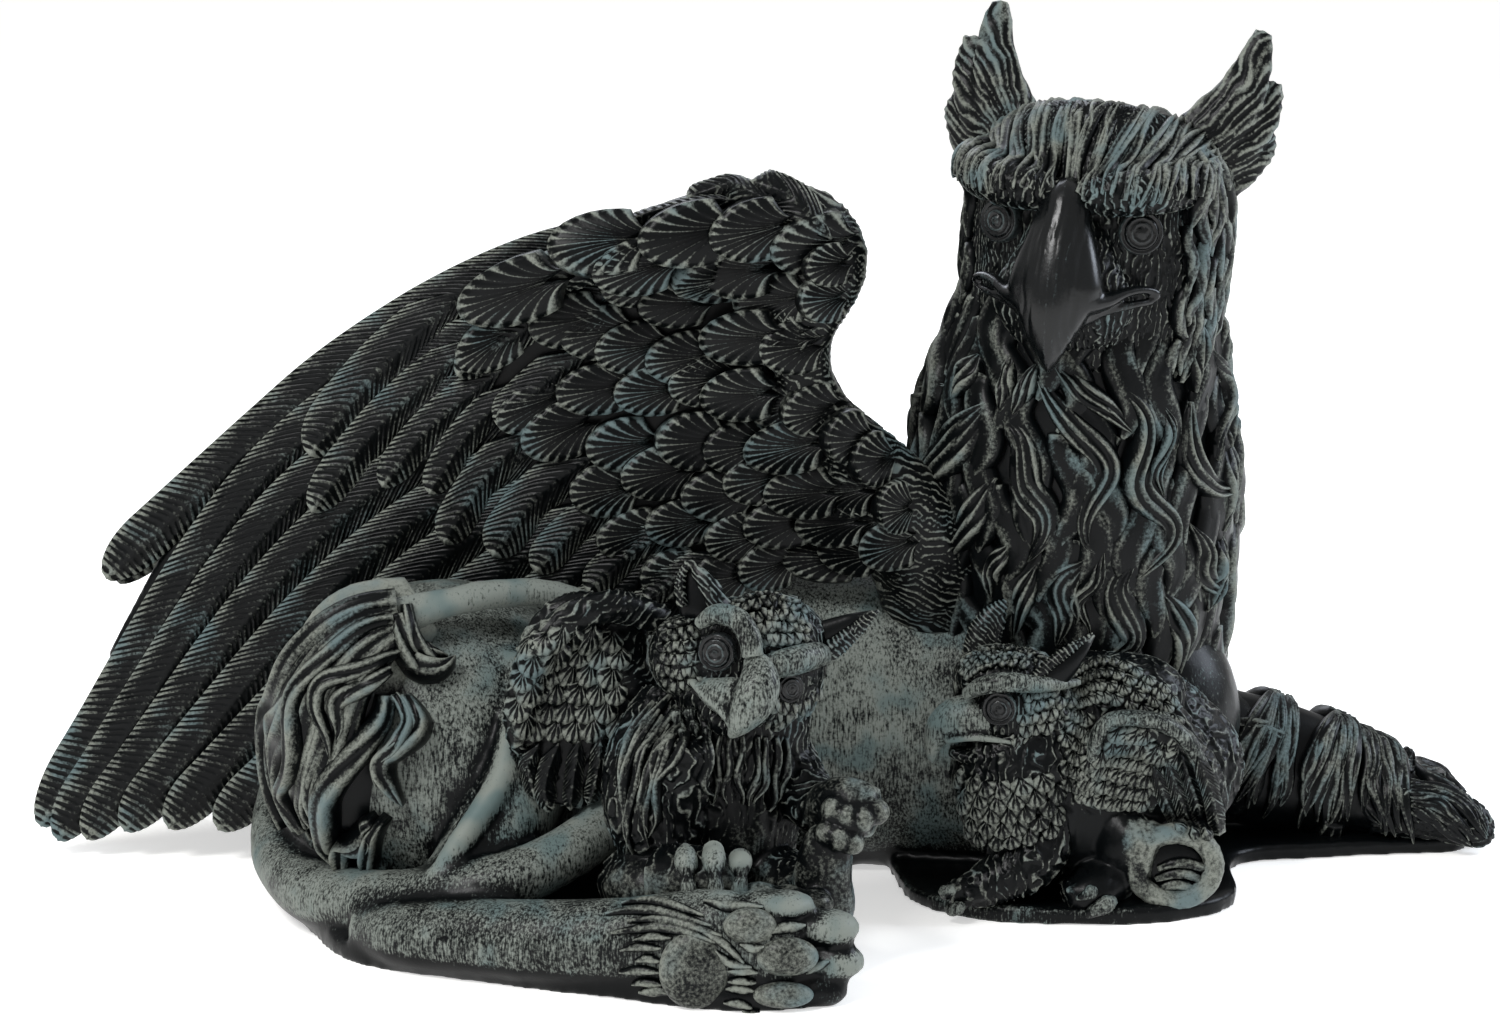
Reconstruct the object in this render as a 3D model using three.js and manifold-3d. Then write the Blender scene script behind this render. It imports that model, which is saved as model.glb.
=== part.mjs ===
// Cast statue of a reclining griffin with two cubs, all in one piece with a thin plinth.
// X runs from the tail to the forepaws, Y from the side with the cubs to the far side, Z up.
import * as THREE from "three";
import { mergeVertices } from "three/addons/utils/BufferGeometryUtils.js";
import Module from "manifold-3d";

const wasm = await Module();
wasm.setup();

// Driving sizes, in millimetres.
const STATUE_LENGTH = 270;
const PLINTH_THICKNESS = 3;
const FACET_TOLERANCE = 0.25;

// The figures are squared up as a carver does it: the statue is 108 squares long, and every place and
// girth of the figures below is a number of squares, with y = 0 at the griffin's middle plane.
const SQUARES_LONG = 108;
const SQUARE = STATUE_LENGTH / SQUARES_LONG;
// The figures are sunk this far into the plinth, so that paws and bellies grow out of it.
const SINK = 1.2 * SQUARE;
const LIFT = PLINTH_THICKNESS - SINK;

const DEGREE = Math.PI / 180;
const UP = [0, 0, 1];
const NEAR = [0, -1, 0];

// A place on the squared-up layout, in millimetres.
function at(x, y, z) {
  return new THREE.Vector3(x, y, z).multiplyScalar(SQUARE);
}

// A closed skin over rings of points that all run the same way round.
function skin(rings) {
  const sides = rings[0].length;
  const faces = [];
  for (let i = 0; i + 1 < rings.length; i++)
    for (let k = 0; k < sides; k++) {
      const a = i * sides + k;
      const b = i * sides + ((k + 1) % sides);
      faces.push(a, b, b + sides, a, b + sides, a + sides);
    }
  const last = (rings.length - 1) * sides;
  for (let k = 0; k + 1 < sides - 1 - k; k++) {
    const [a, b, c, d] = [k, k + 1, sides - 2 - k, sides - 1 - k];
    faces.push(a, d, c);
    faces.push(last + a, last + c, last + d);
    if (b === c) continue;
    faces.push(a, c, b);
    faces.push(last + a, last + b, last + c);
  }
  return new THREE.BufferGeometry().setFromPoints(rings.flat()).setIndex(faces);
}

function evenly(steps) {
  return Array.from({ length: steps + 1 }, (_, i) => ({ t: i / steps }));
}

// A body lofted along a smooth spine. A station is [x, y, z, across, deep]: a point of the spine and the
// two half-sizes there, the deep one towards facing. A ring can stand proud of them, point by point,
// and slide along the spine.
function loft(stations, { sides = 8, steps = 8, facing = UP, rings = evenly(steps) } = {}) {
  const spine = new THREE.CatmullRomCurve3(stations.map(([x, y, z]) => at(x, y, z)));
  const girth = new THREE.CatmullRomCurve3(
    stations.map(([, , , across, deep = across]) => at(across, deep, 0)),
  );
  const outward = new THREE.Vector3(...facing);
  return skin(
    rings.map(({ t, turn: twist = 0, proud = () => 0, slide = () => 0 }) => {
      const centre = spine.getPoint(t);
      const { x: across, y: deep } = girth.getPoint(t);
      const along = spine.getTangent(t);
      const side = outward.clone().cross(along).normalize();
      const top = along.clone().cross(side);
      return Array.from({ length: sides }, (_, k) => {
        const turn = (2 * Math.PI * k) / sides + twist;
        const extra = proud(k) * SQUARE;
        return centre
          .clone()
          .addScaledVector(side, (Math.max(across, 0.01) + extra) * Math.cos(turn))
          .addScaledVector(top, (Math.max(deep, 0.01) + extra) * Math.sin(turn))
          .addScaledVector(along, slide(k) * SQUARE);
      });
    }),
  );
}

// Rings that turn a loft into tiers of hanging locks. Each tier's locks lie between those above, and
// end in points.
function lockRings({ tiers, proud, point, swing = 0 }) {
  const rings = [];
  for (let tier = 0; tier < tiers; tier++) {
    const ridge = (k) => (k + tier) % 2 === 0;
    const ring = (share, high, low, reach) => {
      const t = (tier + share) / tiers;
      rings.push({
        t,
        turn: swing * Math.sin(2 * Math.PI * 1.5 * t),
        proud: (k) => proud * (ridge(k) ? high : low),
        slide: (k) => (ridge(k) ? reach : -reach),
      });
    };
    ring(0.04, 0.3, -0.2, 0);
    ring(0.5, 1, 0, 0);
    ring(0.96, 0.8, 0.1, point);
  }
  return rings;
}

// An ellipsoid about a place, with its three half-sizes.
function ball([x, y, z], [rx, ry, rz], { around = 8, down = 5 } = {}) {
  const g = new THREE.SphereGeometry(SQUARE, around, down);
  g.rotateX(Math.PI / 2);
  g.scale(rx, ry, rz);
  const centre = at(x, y, z);
  g.translate(centre.x, centre.y, centre.z);
  return g;
}

// Shapes made about the origin, put in their own place and turned about x, then y, then z.
function posed(geometries, { centre, pitch = 0, roll = 0, yaw = 0, size = 1 }) {
  const turn = new THREE.Euler(pitch * DEGREE, roll * DEGREE, yaw * DEGREE, "ZYX");
  const matrix = new THREE.Matrix4().compose(
    at(...centre),
    new THREE.Quaternion().setFromEuler(turn),
    new THREE.Vector3(size, size, size),
  );
  return geometries.map((g) => g.applyMatrix4(matrix));
}

// The same shapes on the other side of the plane y = middle.
function mirrored(geometries, middle = 0) {
  return geometries.map((g) => g.clone().scale(1, -1, 1).translate(0, 2 * middle * SQUARE, 0));
}

// A smooth line through named [x, z] places, read off at a share of its length.
function onLine(places, share) {
  const line = new THREE.CatmullRomCurve3(places.map(([x, z]) => new THREE.Vector3(x, 0, z)));
  const { x, z } = line.getPoint(Math.min(Math.max(share, 0), 1));
  return [x, z];
}

// The griffin's trunk.
function trunk() {
  const barrel = [
    [-33, 1, 9, 3, 4],
    [-29, 1, 9.5, 7.5, 9],
    [-18, 0, 10, 9.5, 11],
    [-4, 0, 10, 8.6, 11],
    [9, 0, 10.4, 8.8, 11.4],
    [20, 0, 9, 10, 11],
    [29, 0, 7.5, 8, 7],
    [33, 0, 6.5, 3, 3],
  ];
  return loft(barrel, { sides: 12, steps: 7 });
}

// The neck from the head down to the breast. Its mane hangs in tiers of long wavy locks.
function mane() {
  const column = [
    [23.7, -3.6, 43, 8.2, 7.8],
    [23.3, -3.4, 38, 9, 8.4],
    [22.6, -2.6, 31, 10.9, 9.6],
    [22.6, -1.6, 23, 11, 10],
    [22.4, -0.6, 14, 10.2, 9.4],
    [22, 0, 8, 8, 8],
  ];
  const rings = lockRings({ tiers: 4, proud: 1.3, point: 1.6, swing: 0.13 });
  return loft(column, { sides: 26, facing: NEAR, rings });
}

// An eagle's head that looks along -Y, about its own centre, as the griffin and both cubs have it. An
// ear is a fan of lobes, each given by how far out and how high its tip stands. A cub's is carved plainer.
function eagleHead({ leftEar, rightEar, plain = false }) {
  const pair = (make) => [-1, 1].map(make);
  const skull = loft(
    [
      [0, 0.4, 8.9, 4.2, 4.2],
      [0, 0.2, 7.4, 7.8, 7.4],
      [0, 0, 3.4, 9.2, 8.8],
      [0, -0.2, -2, 9.1, 8.4],
      [0, 0, -8, 8, 7.4],
    ],
    { sides: plain ? 8 : 12, steps: 4, facing: NEAR },
  );
  const brows = pair((s) =>
    loft(
      [
        [0.6 * s, -9.2, 2.4, 1.4, 1.3],
        [3.8 * s, -8.8, 3.6, 1.9, 1.7],
        [7.2 * s, -6.2, 5, 1.6, 1.4],
        [9 * s, -3, 5.4, 0.5, 0.5],
      ],
      { sides: 4, steps: plain ? 2 : 4 },
    ),
  );
  const beak = loft(
    [
      [0, -7.4, 4.4, 1.4, 1],
      [0, -9.8, 2.4, 1.7, 1.5],
      [0, -12, -1.2, 2.5, 2.1],
      [0, -12.9, -4.2, 2, 1.8],
      [0, -12.6, -7, 0.5, 0.5],
    ],
    { sides: plain ? 6 : 8, steps: plain ? 4 : 6, facing: NEAR },
  );
  const gape = loft(
    [
      [-6.8, -6, -2.9, 0.4, 0.4],
      [-3.6, -8.8, -3, 1.1, 1],
      [0, -10, -3.4, 1.6, 1.8],
      [3.6, -8.8, -3, 1.1, 1],
      [6.8, -6, -2.9, 0.4, 0.4],
    ],
    { sides: 4, steps: 4 },
  );
  const eyes = pair((s) => ball([4.8 * s, -7.4, 0.6], [1.7, 1.1, 1.7], { around: plain ? 6 : 9, down: plain ? 4 : 5 }));
  const lobes = (s, tips) =>
    tips.map(([out, up], k) =>
      loft(
        [
          [(4.8 + 1.1 * k) * s, 0.8 * k, 5.2 - 0.9 * k, 1.9, 1],
          [(0.4 * (4.8 + 1.1 * k) + 0.6 * out) * s, 1 + 0.8 * k, 2.6 + 0.5 * up, 2, 0.9],
          [out * s, 1.6 + k, up, 0.5, 0.4],
        ],
        { sides: 4, steps: plain ? 2 : 3, facing: [0.3 * s, -1, 0] },
      ),
    );
  return [skull, ...brows, beak, gape, ...eyes, ...lobes(-1, leftEar), ...lobes(1, rightEar)];
}

function griffinHead() {
  const leftEar = [[8.8, 15.8], [10.6, 13.3], [11.3, 10]];
  const rightEar = [[10.4, 14.6], [11, 10.9], [10.4, 7.8]];
  return posed(eagleHead({ leftEar, rightEar }), { centre: [23.6, -4, 45], yaw: -18, roll: 1 });
}

// The wings stand on either side of a plane a little beyond the middle one. The outer skin of a wing is
// this far from that plane at the feather tips and at the shoulder, and bulges between them.
const WINGS = { middle: 3.5, tips: 4.6, shoulder: 10.4, bulge: 1.6, tipX: -50, shoulderX: 10 };

function wingSkin(x) {
  const share = Math.min(Math.max((x - WINGS.tipX) / (WINGS.shoulderX - WINGS.tipX), 0), 1);
  return WINGS.tips + (WINGS.shoulder - WINGS.tips) * share + WINGS.bulge * Math.sin(Math.PI * share);
}

// A row of feathers in one piece. Root, middle and tip are the [x, z] lines that the row's feathers start
// on, pass and end on. Layer is how far the row stands out from the wing's skin, and deep how far its
// back lies inside it.
function featherRow({ root, middle, tip, count, layer, deep, steps, reach = () => 1, notch = 0.07, tilt = 0.5 }) {
  const columns = [];
  for (let j = 0; j < count; j++) {
    const edge = Math.min(reach(Math.max(j - 1, 0)), reach(j)) - notch;
    columns.push({ s: j / count, middle: j / count, reach: edge, ridge: -0.25 });
    for (const share of [0.28, 0.72])
      columns.push({ s: (j + share) / count, middle: (j + 0.5) / count, reach: reach(j), ridge: 0.5 });
  }
  columns.push({ s: 1, middle: 1, reach: reach(count - 1) - notch, ridge: -0.25 });
  const rings = steps.map((t) => {
    const places = columns.map((column) => {
      const narrowed = t === 1 ? 0.55 : 1;
      const s = column.middle + (column.s - column.middle) * narrowed;
      const lines = [root, middle, tip].map((line) => onLine(line, s));
      return [...onLine(lines, t * column.reach), layer + tilt * t + column.ridge * Math.sqrt(t)];
    });
    const front = places.map(([x, z, out]) => at(x, WINGS.middle - wingSkin(x) - out, z));
    const back = places.map(([x, z]) => at(x, WINGS.middle - wingSkin(x) + deep, z));
    return [...front, ...back.reverse()];
  });
  return skin(rings);
}

// The [x, z] lines where the small feathers begin, along the wing's front edge, and where they end.
const SCALES_FROM = [[4, 46.8], [3.6, 42], [3, 35], [11, 24]];
const SCALES_TO = [[-23.5, 39.8], [-21, 33.4], [-13.5, 25.6], [-2, 18.8]];

// The flight feathers: the first one ends short, high on the outline, and the rest reach the ground.
function flightFeathers(count, shortest) {
  return featherRow({
    root: SCALES_FROM,
    middle: [[-31.2, 35.8], [-28.8, 28.5], [-23.5, 23], [-15, 19.5], [-6, 18]],
    tip: [[-50.8, 5], [-49.6, 1], [-42, 1.8], [-33, 3.2], [-14, 9]],
    count,
    steps: [0, 0.4, 0.75, 0.94, 1],
    layer: 0,
    deep: 2.4,
    reach: (j) => (j === 0 ? shortest : 1),
  });
}

function greaterCoverts(count) {
  return featherRow({
    root: [[-5, 46], [-3, 42], [0, 34], [6, 26]],
    middle: [[-20, 41], [-18, 35], [-12, 28], [-2, 23]],
    tip: [[-33, 34], [-29, 26], [-19, 21], [-8, 18]],
    count,
    steps: [0, 0.4, 0.85, 1],
    layer: 0.9,
    deep: 1.2,
    reach: (j) => (j % 2 ? 0.93 : 1),
    notch: 0.09,
  });
}

// Rows of small round-ended feathers, like tiles, between the wing's front edge and its long coverts.
function scaleFeathers(rows, count) {
  const lineAt = (share) =>
    SCALES_FROM.map(([x, z], k) => [
      x + (SCALES_TO[k][0] - x) * share,
      z + (SCALES_TO[k][1] - z) * share + (k === 0 ? 2 * share * (1 - share) : 0),
    ]);
  return Array.from({ length: rows }, (_, r) => {
    const half = 0.5 / count;
    const shifted = (line) => (r % 2 ? line.map((_, k) => onLine(line, half + (k / 3) * (1 - half))) : line);
    return featherRow({
      root: shifted(lineAt(Math.max(r - 0.2, 0) / rows)),
      middle: shifted(lineAt((r + 0.55) / rows)),
      tip: shifted(lineAt((r + 1.2) / rows)),
      count,
      steps: [0, 0.74, 1],
      layer: 2.4 - (1.5 * r) / rows,
      deep: 1.2,
      notch: 0.28,
      tilt: 0.7,
    });
  });
}

function wingArm() {
  return loft(
    [
      [14, -2.5, 16, 4, 3],
      [12.4, -6, 22, 4, 3],
      [9.4, -8, 27.6, 3.4, 2.6],
      [4.6, -9, 33.5, 2, 2.4],
      [3.2, -9.2, 38.4, 2.2, 2.4],
      [4.6, -9.2, 43.8, 3.2, 2.7],
      [1, -9, 46.8, 2.5, 2.2],
      [-6, -8.6, 45.9, 2.4, 1.7],
      [-17, -8, 42, 1.9, 1.2],
    ],
    { sides: 6, steps: 10, facing: NEAR },
  );
}

function nearWing() {
  return [wingArm(), flightFeathers(10, 0.82), greaterCoverts(8), ...scaleFeathers(6, 6)];
}

// The far wing leans a little lower, and its carving is plainer.
function farWing() {
  const twin = mirrored([wingArm(), flightFeathers(8, 0.6), greaterCoverts(5), ...scaleFeathers(1, 4)], WINGS.middle);
  const drop = at(-3, 0, -2.4);
  return twin.map((g) => g.translate(drop.x, drop.y, drop.z));
}

function haunches() {
  const nearThigh = ball([-21, -12, 10.5], [11.6, 11, 11.8], { around: 11, down: 7 });
  const knee = loft(
    [
      [-17, -16, 13, 4.4, 5],
      [-15.6, -20, 9.6, 3.2, 3.8],
      [-18, -24, 5, 2.6, 3],
      [-22, -27, 2.4, 2, 2],
    ],
    { sides: 7, steps: 4 },
  );
  const farThigh = ball([-20, 9, 9], [11, 9, 10.5], { around: 9, down: 5 });
  const farFoot = loft(
    [
      [-20, 15, 2, 3, 3],
      [-12, 16, 2, 3, 2.6],
      [-5, 16, 2, 3.4, 2.6],
      [-1, 16, 1.4, 1.6, 1.2],
    ],
    { sides: 6, steps: 3 },
  );
  return [nearThigh, knee, farThigh, farFoot];
}

// The hind leg that lies on the ground with its sole towards the near side.
function soleUpFoot() {
  const shank = loft(
    [
      [-24, -27, 2.2, 2.2, 2.2],
      [-16, -30, 2.7, 2.6, 2.6],
      [-8, -33, 3, 2.8, 2.8],
      [-2, -35, 3.6, 2.8, 3.6],
      [3.4, -35.2, 3.4, 2.4, 3.2],
    ],
    { sides: 7, steps: 4 },
  );
  const toes = [
    [4.4, 5.8],
    [5.9, 4.3],
    [6, 2.6],
    [5.4, 1.1],
  ].map(([x, z]) =>
    loft(
      [
        [0.5, -34, z, 1.6, 1.3],
        [x - 1.4, -34.8, z, 1.9, 1.3],
        [x + 0.4, -34.6, z - 0.2, 0.9, 0.7],
      ],
      { sides: 6, steps: 3 },
    ),
  );
  const pads = [
    [-3.7, 3.1, 2.1, 2.5],
    [-0.5, 6.1, 1.6, 1.2],
    [2.2, 3.9, 2, 1.2],
    [2.1, 1.1, 2, 1],
  ].map(([x, z, rx, rz]) => ball([x, -36.8, z], [rx, 1.3, rz], { around: 8, down: 4 }));
  return [shank, ...toes, ...pads];
}

function tail() {
  const loop = loft(
    [
      [-29, -2, 8, 2.6],
      [-32, -6, 6, 2.2],
      [-32, -12, 3.6, 2.1],
      [-29.2, -19, 2.6, 2.2],
      [-24.5, -23.6, 3, 2.3],
      [-18.5, -26.6, 4.6, 2.1],
      [-13.5, -26, 6.2, 1.9],
      [-9, -22, 8.5, 1.8],
      [-6.5, -17, 12.5, 1.7],
    ],
    { sides: 6, steps: 10 },
  );
  const returning = loft(
    [
      [-6.5, -16.5, 13, 1.6],
      [-8.5, -15.6, 19, 1.4],
      [-12.5, -16.6, 22, 1.1],
      [-16.5, -18, 22.6, 1],
      [-20.3, -19.6, 22.2, 1],
      [-24, -20, 21.2, 1.6],
    ],
    { sides: 4, steps: 7, facing: [0, -1, 0.3] },
  );
  const strands = [
    [-31, 8.6, 0.7],
    [-28.4, 6.8, -0.7],
    [-25.6, 5.8, 0.7],
    [-22.8, 7, -0.7],
    [-20.8, 12, 0.6],
  ].map(([x, z, wave]) =>
    loft(
      [
        [-24, -20.4, 21.4, 1.1, 1],
        [-24 + 0.45 * (x + 24) - wave, -21.4, 17.6, 1.7, 1.4],
        [-24 + 0.85 * (x + 24) + wave, -22, 13.4, 1.6, 1.3],
        [x - 0.5 * wave, -22.4, (z + 12) / 2, 1.2, 1.1],
        [x, -22.6, z, 0.3, 0.3],
      ],
      { sides: 4, steps: 4, facing: NEAR },
    ),
  );
  return [loop, returning, ...strands];
}

// The stretched foreleg: a smooth arm, a shaggy forearm in tiers, and the paw.
function foreleg() {
  const arm = loft(
    [
      [24, 4, 9, 6, 6],
      [30, 4, 7.6, 4.6, 5],
      [35, 3.6, 6, 4.2, 4.8],
    ],
    { sides: 8, steps: 3 },
  );
  const forearm = loft(
    [
      [32, 3.8, 6.4, 4, 5],
      [37, 3.4, 5.4, 3.8, 5],
      [42, 3.2, 4.2, 3.6, 4.2],
      [47.5, 3, 3, 3.2, 3.2],
    ],
    { sides: 12, rings: lockRings({ tiers: 3, proud: 0.9, point: 0.9 }) },
  );
  const toes = [0, 1, 2, 3].map((k) =>
    loft(
      [
        [45.6, 0.2 + 1.9 * k, 3.4, 1.3, 2.2],
        [49.4, -0.3 + 2.1 * k, 2.6, 1.4, 1.9],
        [52.2 - 0.4 * Math.abs(k - 1), -0.5 + 2.3 * k, 1.5, 1.1, 1.2],
        [53.4 - 0.5 * Math.abs(k - 1), -0.6 + 2.3 * k, 0.8, 0.5, 0.5],
      ],
      { sides: 5, steps: 2 },
    ),
  );
  const nearForeleg = loft(
    [
      [24, -7, 8, 5, 5],
      [31, -7, 3.5, 3, 3],
      [35, -6.6, 2, 2.2, 1.6],
    ],
    { sides: 7, steps: 3 },
  );
  return [arm, forearm, ...toes, nearForeleg];
}

// The cub that sits up on the griffin's hind foot and holds its own.
function sittingCub() {
  const body = loft(
    [
      [-2, -22, 2, 4.4, 4],
      [-2.4, -22, 8, 6, 5.6],
      [-1.8, -22, 13, 5.4, 5.2],
      [-0.6, -22.5, 18, 4.4, 4.4],
    ],
    { sides: 10, facing: NEAR, rings: lockRings({ tiers: 2, proud: 0.6, point: -0.7 }) },
  );
  const leftEar = [[9.4, 12.4]];
  const rightEar = [[12.6, 9.8]];
  const head = posed(eagleHead({ leftEar, rightEar, plain: true }), {
    centre: [0.2, -23, 19.6],
    yaw: -10,
    roll: 20,
    pitch: -8,
    size: 0.55,
  });
  const wingShell = loft(
    [
      [-8.6, -21, 22, 2.4, 1.4],
      [-10.4, -22.2, 19.4, 4.4, 1.8],
      [-11, -22.8, 14.6, 3.9, 1.6],
      [-11.8, -23.2, 9.2, 0.7, 0.5],
    ],
    { sides: 8, steps: 4, facing: NEAR },
  );
  const wingRim = loft(
    [
      [-6, -21.6, 20.6, 0.9, 0.9],
      [-9.4, -23.2, 22.2, 1.3, 1.2],
      [-13.2, -24, 20, 1.2, 1.1],
      [-14.8, -23.6, 15.4, 0.7, 0.7],
    ],
    { sides: 5, steps: 4, facing: NEAR },
  );
  const wingFeathers = [0, 1, 2].map((k) =>
    loft(
      [
        [-12.6 + 2.2 * k, -24, 17.4, 1.2, 0.8],
        [-12.8 + 1.9 * k, -24.4, 13.6, 1.3, 0.8],
        [-12.2 + 1.6 * k, -23.6, 9.4 + 0.9 * k, 0.4, 0.4],
      ],
      { sides: 4, steps: 2, facing: NEAR },
    ),
  );
  const upperArm = loft(
    [
      [-5.6, -23, 16, 2.2, 2.2],
      [-6.4, -25, 12.4, 3, 2.8],
      [-5.4, -26.6, 8.4, 2.6, 2.4],
      [-4.6, -26.8, 6.8, 1, 1],
    ],
    { sides: 8, facing: NEAR, rings: lockRings({ tiers: 2, proud: 0.5, point: 0.6 }) },
  );
  const forearm = loft(
    [
      [-5, -26.6, 9.6, 2.2, 2],
      [-4, -28.4, 13.4, 1.8, 1.7],
      [-3.6, -28.8, 16.4, 1.3, 1.2],
    ],
    { sides: 6, steps: 3, facing: NEAR },
  );
  const fingers = [-1.4, 0, 1.4].map((step) =>
    loft(
      [
        [-3.4 + step, -28.8, 16.8, 0.7, 0.7],
        [-3 + step, -29.8, 16.4, 0.6, 0.6],
        [-3 + step, -30, 15, 0.25, 0.25],
      ],
      { sides: 4, steps: 2 },
    ),
  );
  const heldLeg = loft(
    [
      [1.5, -25, 4.6, 2.8, 2.6],
      [4.6, -29.4, 4.6, 1.7, 1.7],
      [4.2, -30, 7.2, 1.3, 1.3],
      [3.8, -30.2, 9, 1.7, 1.3],
      [4.4, -30.2, 10.6, 1.2, 1],
    ],
    { sides: 6, steps: 5, facing: NEAR },
  );
  const holdingArm = loft(
    [
      [2, -22, 12, 2.6, 2.4],
      [4.4, -26, 10.4, 1.9, 1.9],
      [5.6, -29, 11.2, 2, 1.6],
      [7.6, -29.8, 10.8, 1.5, 1.2],
    ],
    { sides: 6, steps: 4, facing: NEAR },
  );
  const thigh = ball([-5.4, -26.6, 5.8], [4, 4.2, 2.8], { around: 8, down: 5 });
  const restingFoot = ball([-2.4, -31, 7.4], [2.4, 1.9, 1.5], { around: 7, down: 4 });
  const claws = [-1.5, 0, 1.5].map((step) =>
    loft(
      [
        [-2.4 + step, -31.6, 8, 0.8, 0.8],
        [-2.3 + step, -33.2, 6.4, 0.35, 0.35],
      ],
      { sides: 5, steps: 1 },
    ),
  );
  return [
    body,
    ...head,
    wingShell,
    wingRim,
    ...wingFeathers,
    upperArm,
    forearm,
    ...fingers,
    heldLeg,
    holdingArm,
    thigh,
    restingFoot,
    ...claws,
  ];
}

// The cub that crouches before the griffin's breast, seen from its side.
function crouchingCub() {
  const body = loft(
    [
      [15, -11.6, 6, 3, 3],
      [19, -11.6, 8, 5, 7.4],
      [24, -11.4, 8.4, 5.4, 8.4],
      [28.6, -11, 6.8, 4.8, 6.6],
      [31.4, -10.8, 4.6, 2.6, 3.4],
    ],
    { sides: 10, steps: 6 },
  );
  const breast = loft(
    [
      [19.4, -13.4, 14, 3.6, 3.6],
      [18.4, -14, 9, 4.3, 4],
      [17.6, -14.4, 4, 3.6, 3.4],
    ],
    { sides: 12, facing: NEAR, rings: lockRings({ tiers: 3, proud: 0.5, point: 0.5 }) },
  );
  const leftEar = [[9, 10.4], [10.4, 7.4]];
  const rightEar = [[8, 9.6], [9.6, 7.2]];
  const head = posed(eagleHead({ leftEar, rightEar, plain: true }), {
    centre: [18, -14.6, 13.7],
    yaw: -64,
    pitch: 4,
    size: 0.48,
  });
  const smallWing = [
    loft(
      [
        [23.2, -16.4, 10.6, 1, 1],
        [24.2, -17, 12.8, 1.2, 1.2],
        [27.4, -17.2, 12.6, 1.2, 1.2],
        [30.2, -16.6, 10.4, 1.1, 1.1],
        [31.4, -15.6, 6.4, 0.9, 0.9],
      ],
      { sides: 5, steps: 6, facing: NEAR },
    ),
    ...[0, 1, 2].map((k) =>
      loft(
        [
          [24.4 + 1.2 * k, -16.2, 12.2 - 0.4 * k, 1.4, 1],
          [27 + 1.3 * k, -16.8, 9.2 - 0.5 * k, 1.6, 1],
          [28.6 + 1.2 * k, -16.6, 6 - 0.4 * k, 0.4, 0.4],
        ],
        { sides: 4, steps: 2, facing: NEAR },
      ),
    ),
  ];
  const frontLeg = loft(
    [
      [17.6, -14.5, 6, 2.4, 2.4],
      [16.4, -16.4, 3.2, 1.9, 1.9],
      [13.6, -17, 2, 1.5, 1.3],
      [11.8, -17, 1.4, 0.8, 0.7],
    ],
    { sides: 5, steps: 3 },
  );
  const hindFoot = ball([22.4, -17, 2], [2.2, 1.8, 1.5], { around: 6, down: 3 });
  const ring = new THREE.TorusGeometry(2.2 * SQUARE, 0.8 * SQUARE, 5, 10);
  ring.rotateX(Math.PI / 2);
  const ringCentre = at(28.3, -16.8, 3.6);
  ring.translate(ringCentre.x, ringCentre.y, ringCentre.z);
  const tuft = ball([28.3, -16.2, 3.6], [2.2, 1, 2.2], { around: 6, down: 4 });
  const tailRoot = loft(
    [
      [23.6, -13, 5.4, 2.4, 2.4],
      [25, -15.6, 5, 2.2, 2.4],
      [27.4, -16.4, 4.4, 1.6, 1.8],
    ],
    { sides: 7, steps: 3 },
  );
  return [body, breast, ...head, ...smallWing, frontLeg, hindFoot, ring, tuft, tailRoot];
}

// The plinth's outline, in squares, as a closed smooth curve.
const PLINTH_OUTLINE = [
  [-34, 4],
  [-33, -8],
  [-30, -18],
  [-25.5, -27],
  [-15, -32],
  [-3, -37.6],
  [3.6, -38.2],
  [6, -35],
  [4.4, -26],
  [4.6, -10],
  [9, -2.6],
  [10.8, -12.6],
  [15, -17],
  [22, -18.6],
  [29, -17.4],
  [33, -13.6],
  [34.4, -4],
  [42, -1.6],
  [51, 0.4],
  [50, 7],
  [42, 9],
  [30, 12],
  [10, 12],
  [-2, 18],
  [-20, 18],
  [-30, 13],
];

function plinth() {
  const outline = new THREE.SplineCurve(
    [...PLINTH_OUTLINE, PLINTH_OUTLINE[0]].map(([x, y]) => new THREE.Vector2(x, y).multiplyScalar(SQUARE)),
  );
  const shape = new THREE.Shape(outline.getPoints(50).slice(0, -1));
  return new THREE.ExtrudeGeometry(shape, { depth: PLINTH_THICKNESS, bevelEnabled: false });
}

// One closed solid from a shape, whichever way round its faces were drawn.
function solid(geometry) {
  const bare = geometry.clone();
  bare.deleteAttribute("normal");
  bare.deleteAttribute("uv");
  const merged = mergeVertices(bare, 1e-4);
  const vertProperties = merged.attributes.position.array;
  const make = (triVerts) => new wasm.Manifold(new wasm.Mesh({ numProp: 3, vertProperties, triVerts }));
  const faces = new Uint32Array(merged.index.array);
  const body = make(faces);
  return body.volume() > 0 ? body : make(faces.reverse());
}

function statue() {
  const figures = [
    trunk(),
    mane(),
    ...griffinHead(),
    ...nearWing(),
    ...farWing(),
    ...haunches(),
    ...soleUpFoot(),
    ...tail(),
    ...foreleg(),
    ...sittingCub(),
    ...crouchingCub(),
  ].map((g) => g.translate(0, 0, LIFT));
  const ground = new THREE.BoxGeometry(3 * STATUE_LENGTH, 3 * STATUE_LENGTH, STATUE_LENGTH);
  ground.translate(0, 0, -STATUE_LENGTH / 2);
  const joined = wasm.Manifold.union([...figures, plinth()].map(solid)).subtract(solid(ground));
  // The casting has no sealed hollows, so only its outermost shell is kept.
  const shells = joined.asOriginal().simplify(FACET_TOLERANCE).decompose();
  return shells.reduce((outer, shell) => (shell.volume() > outer.volume() ? shell : outer));
}

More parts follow.
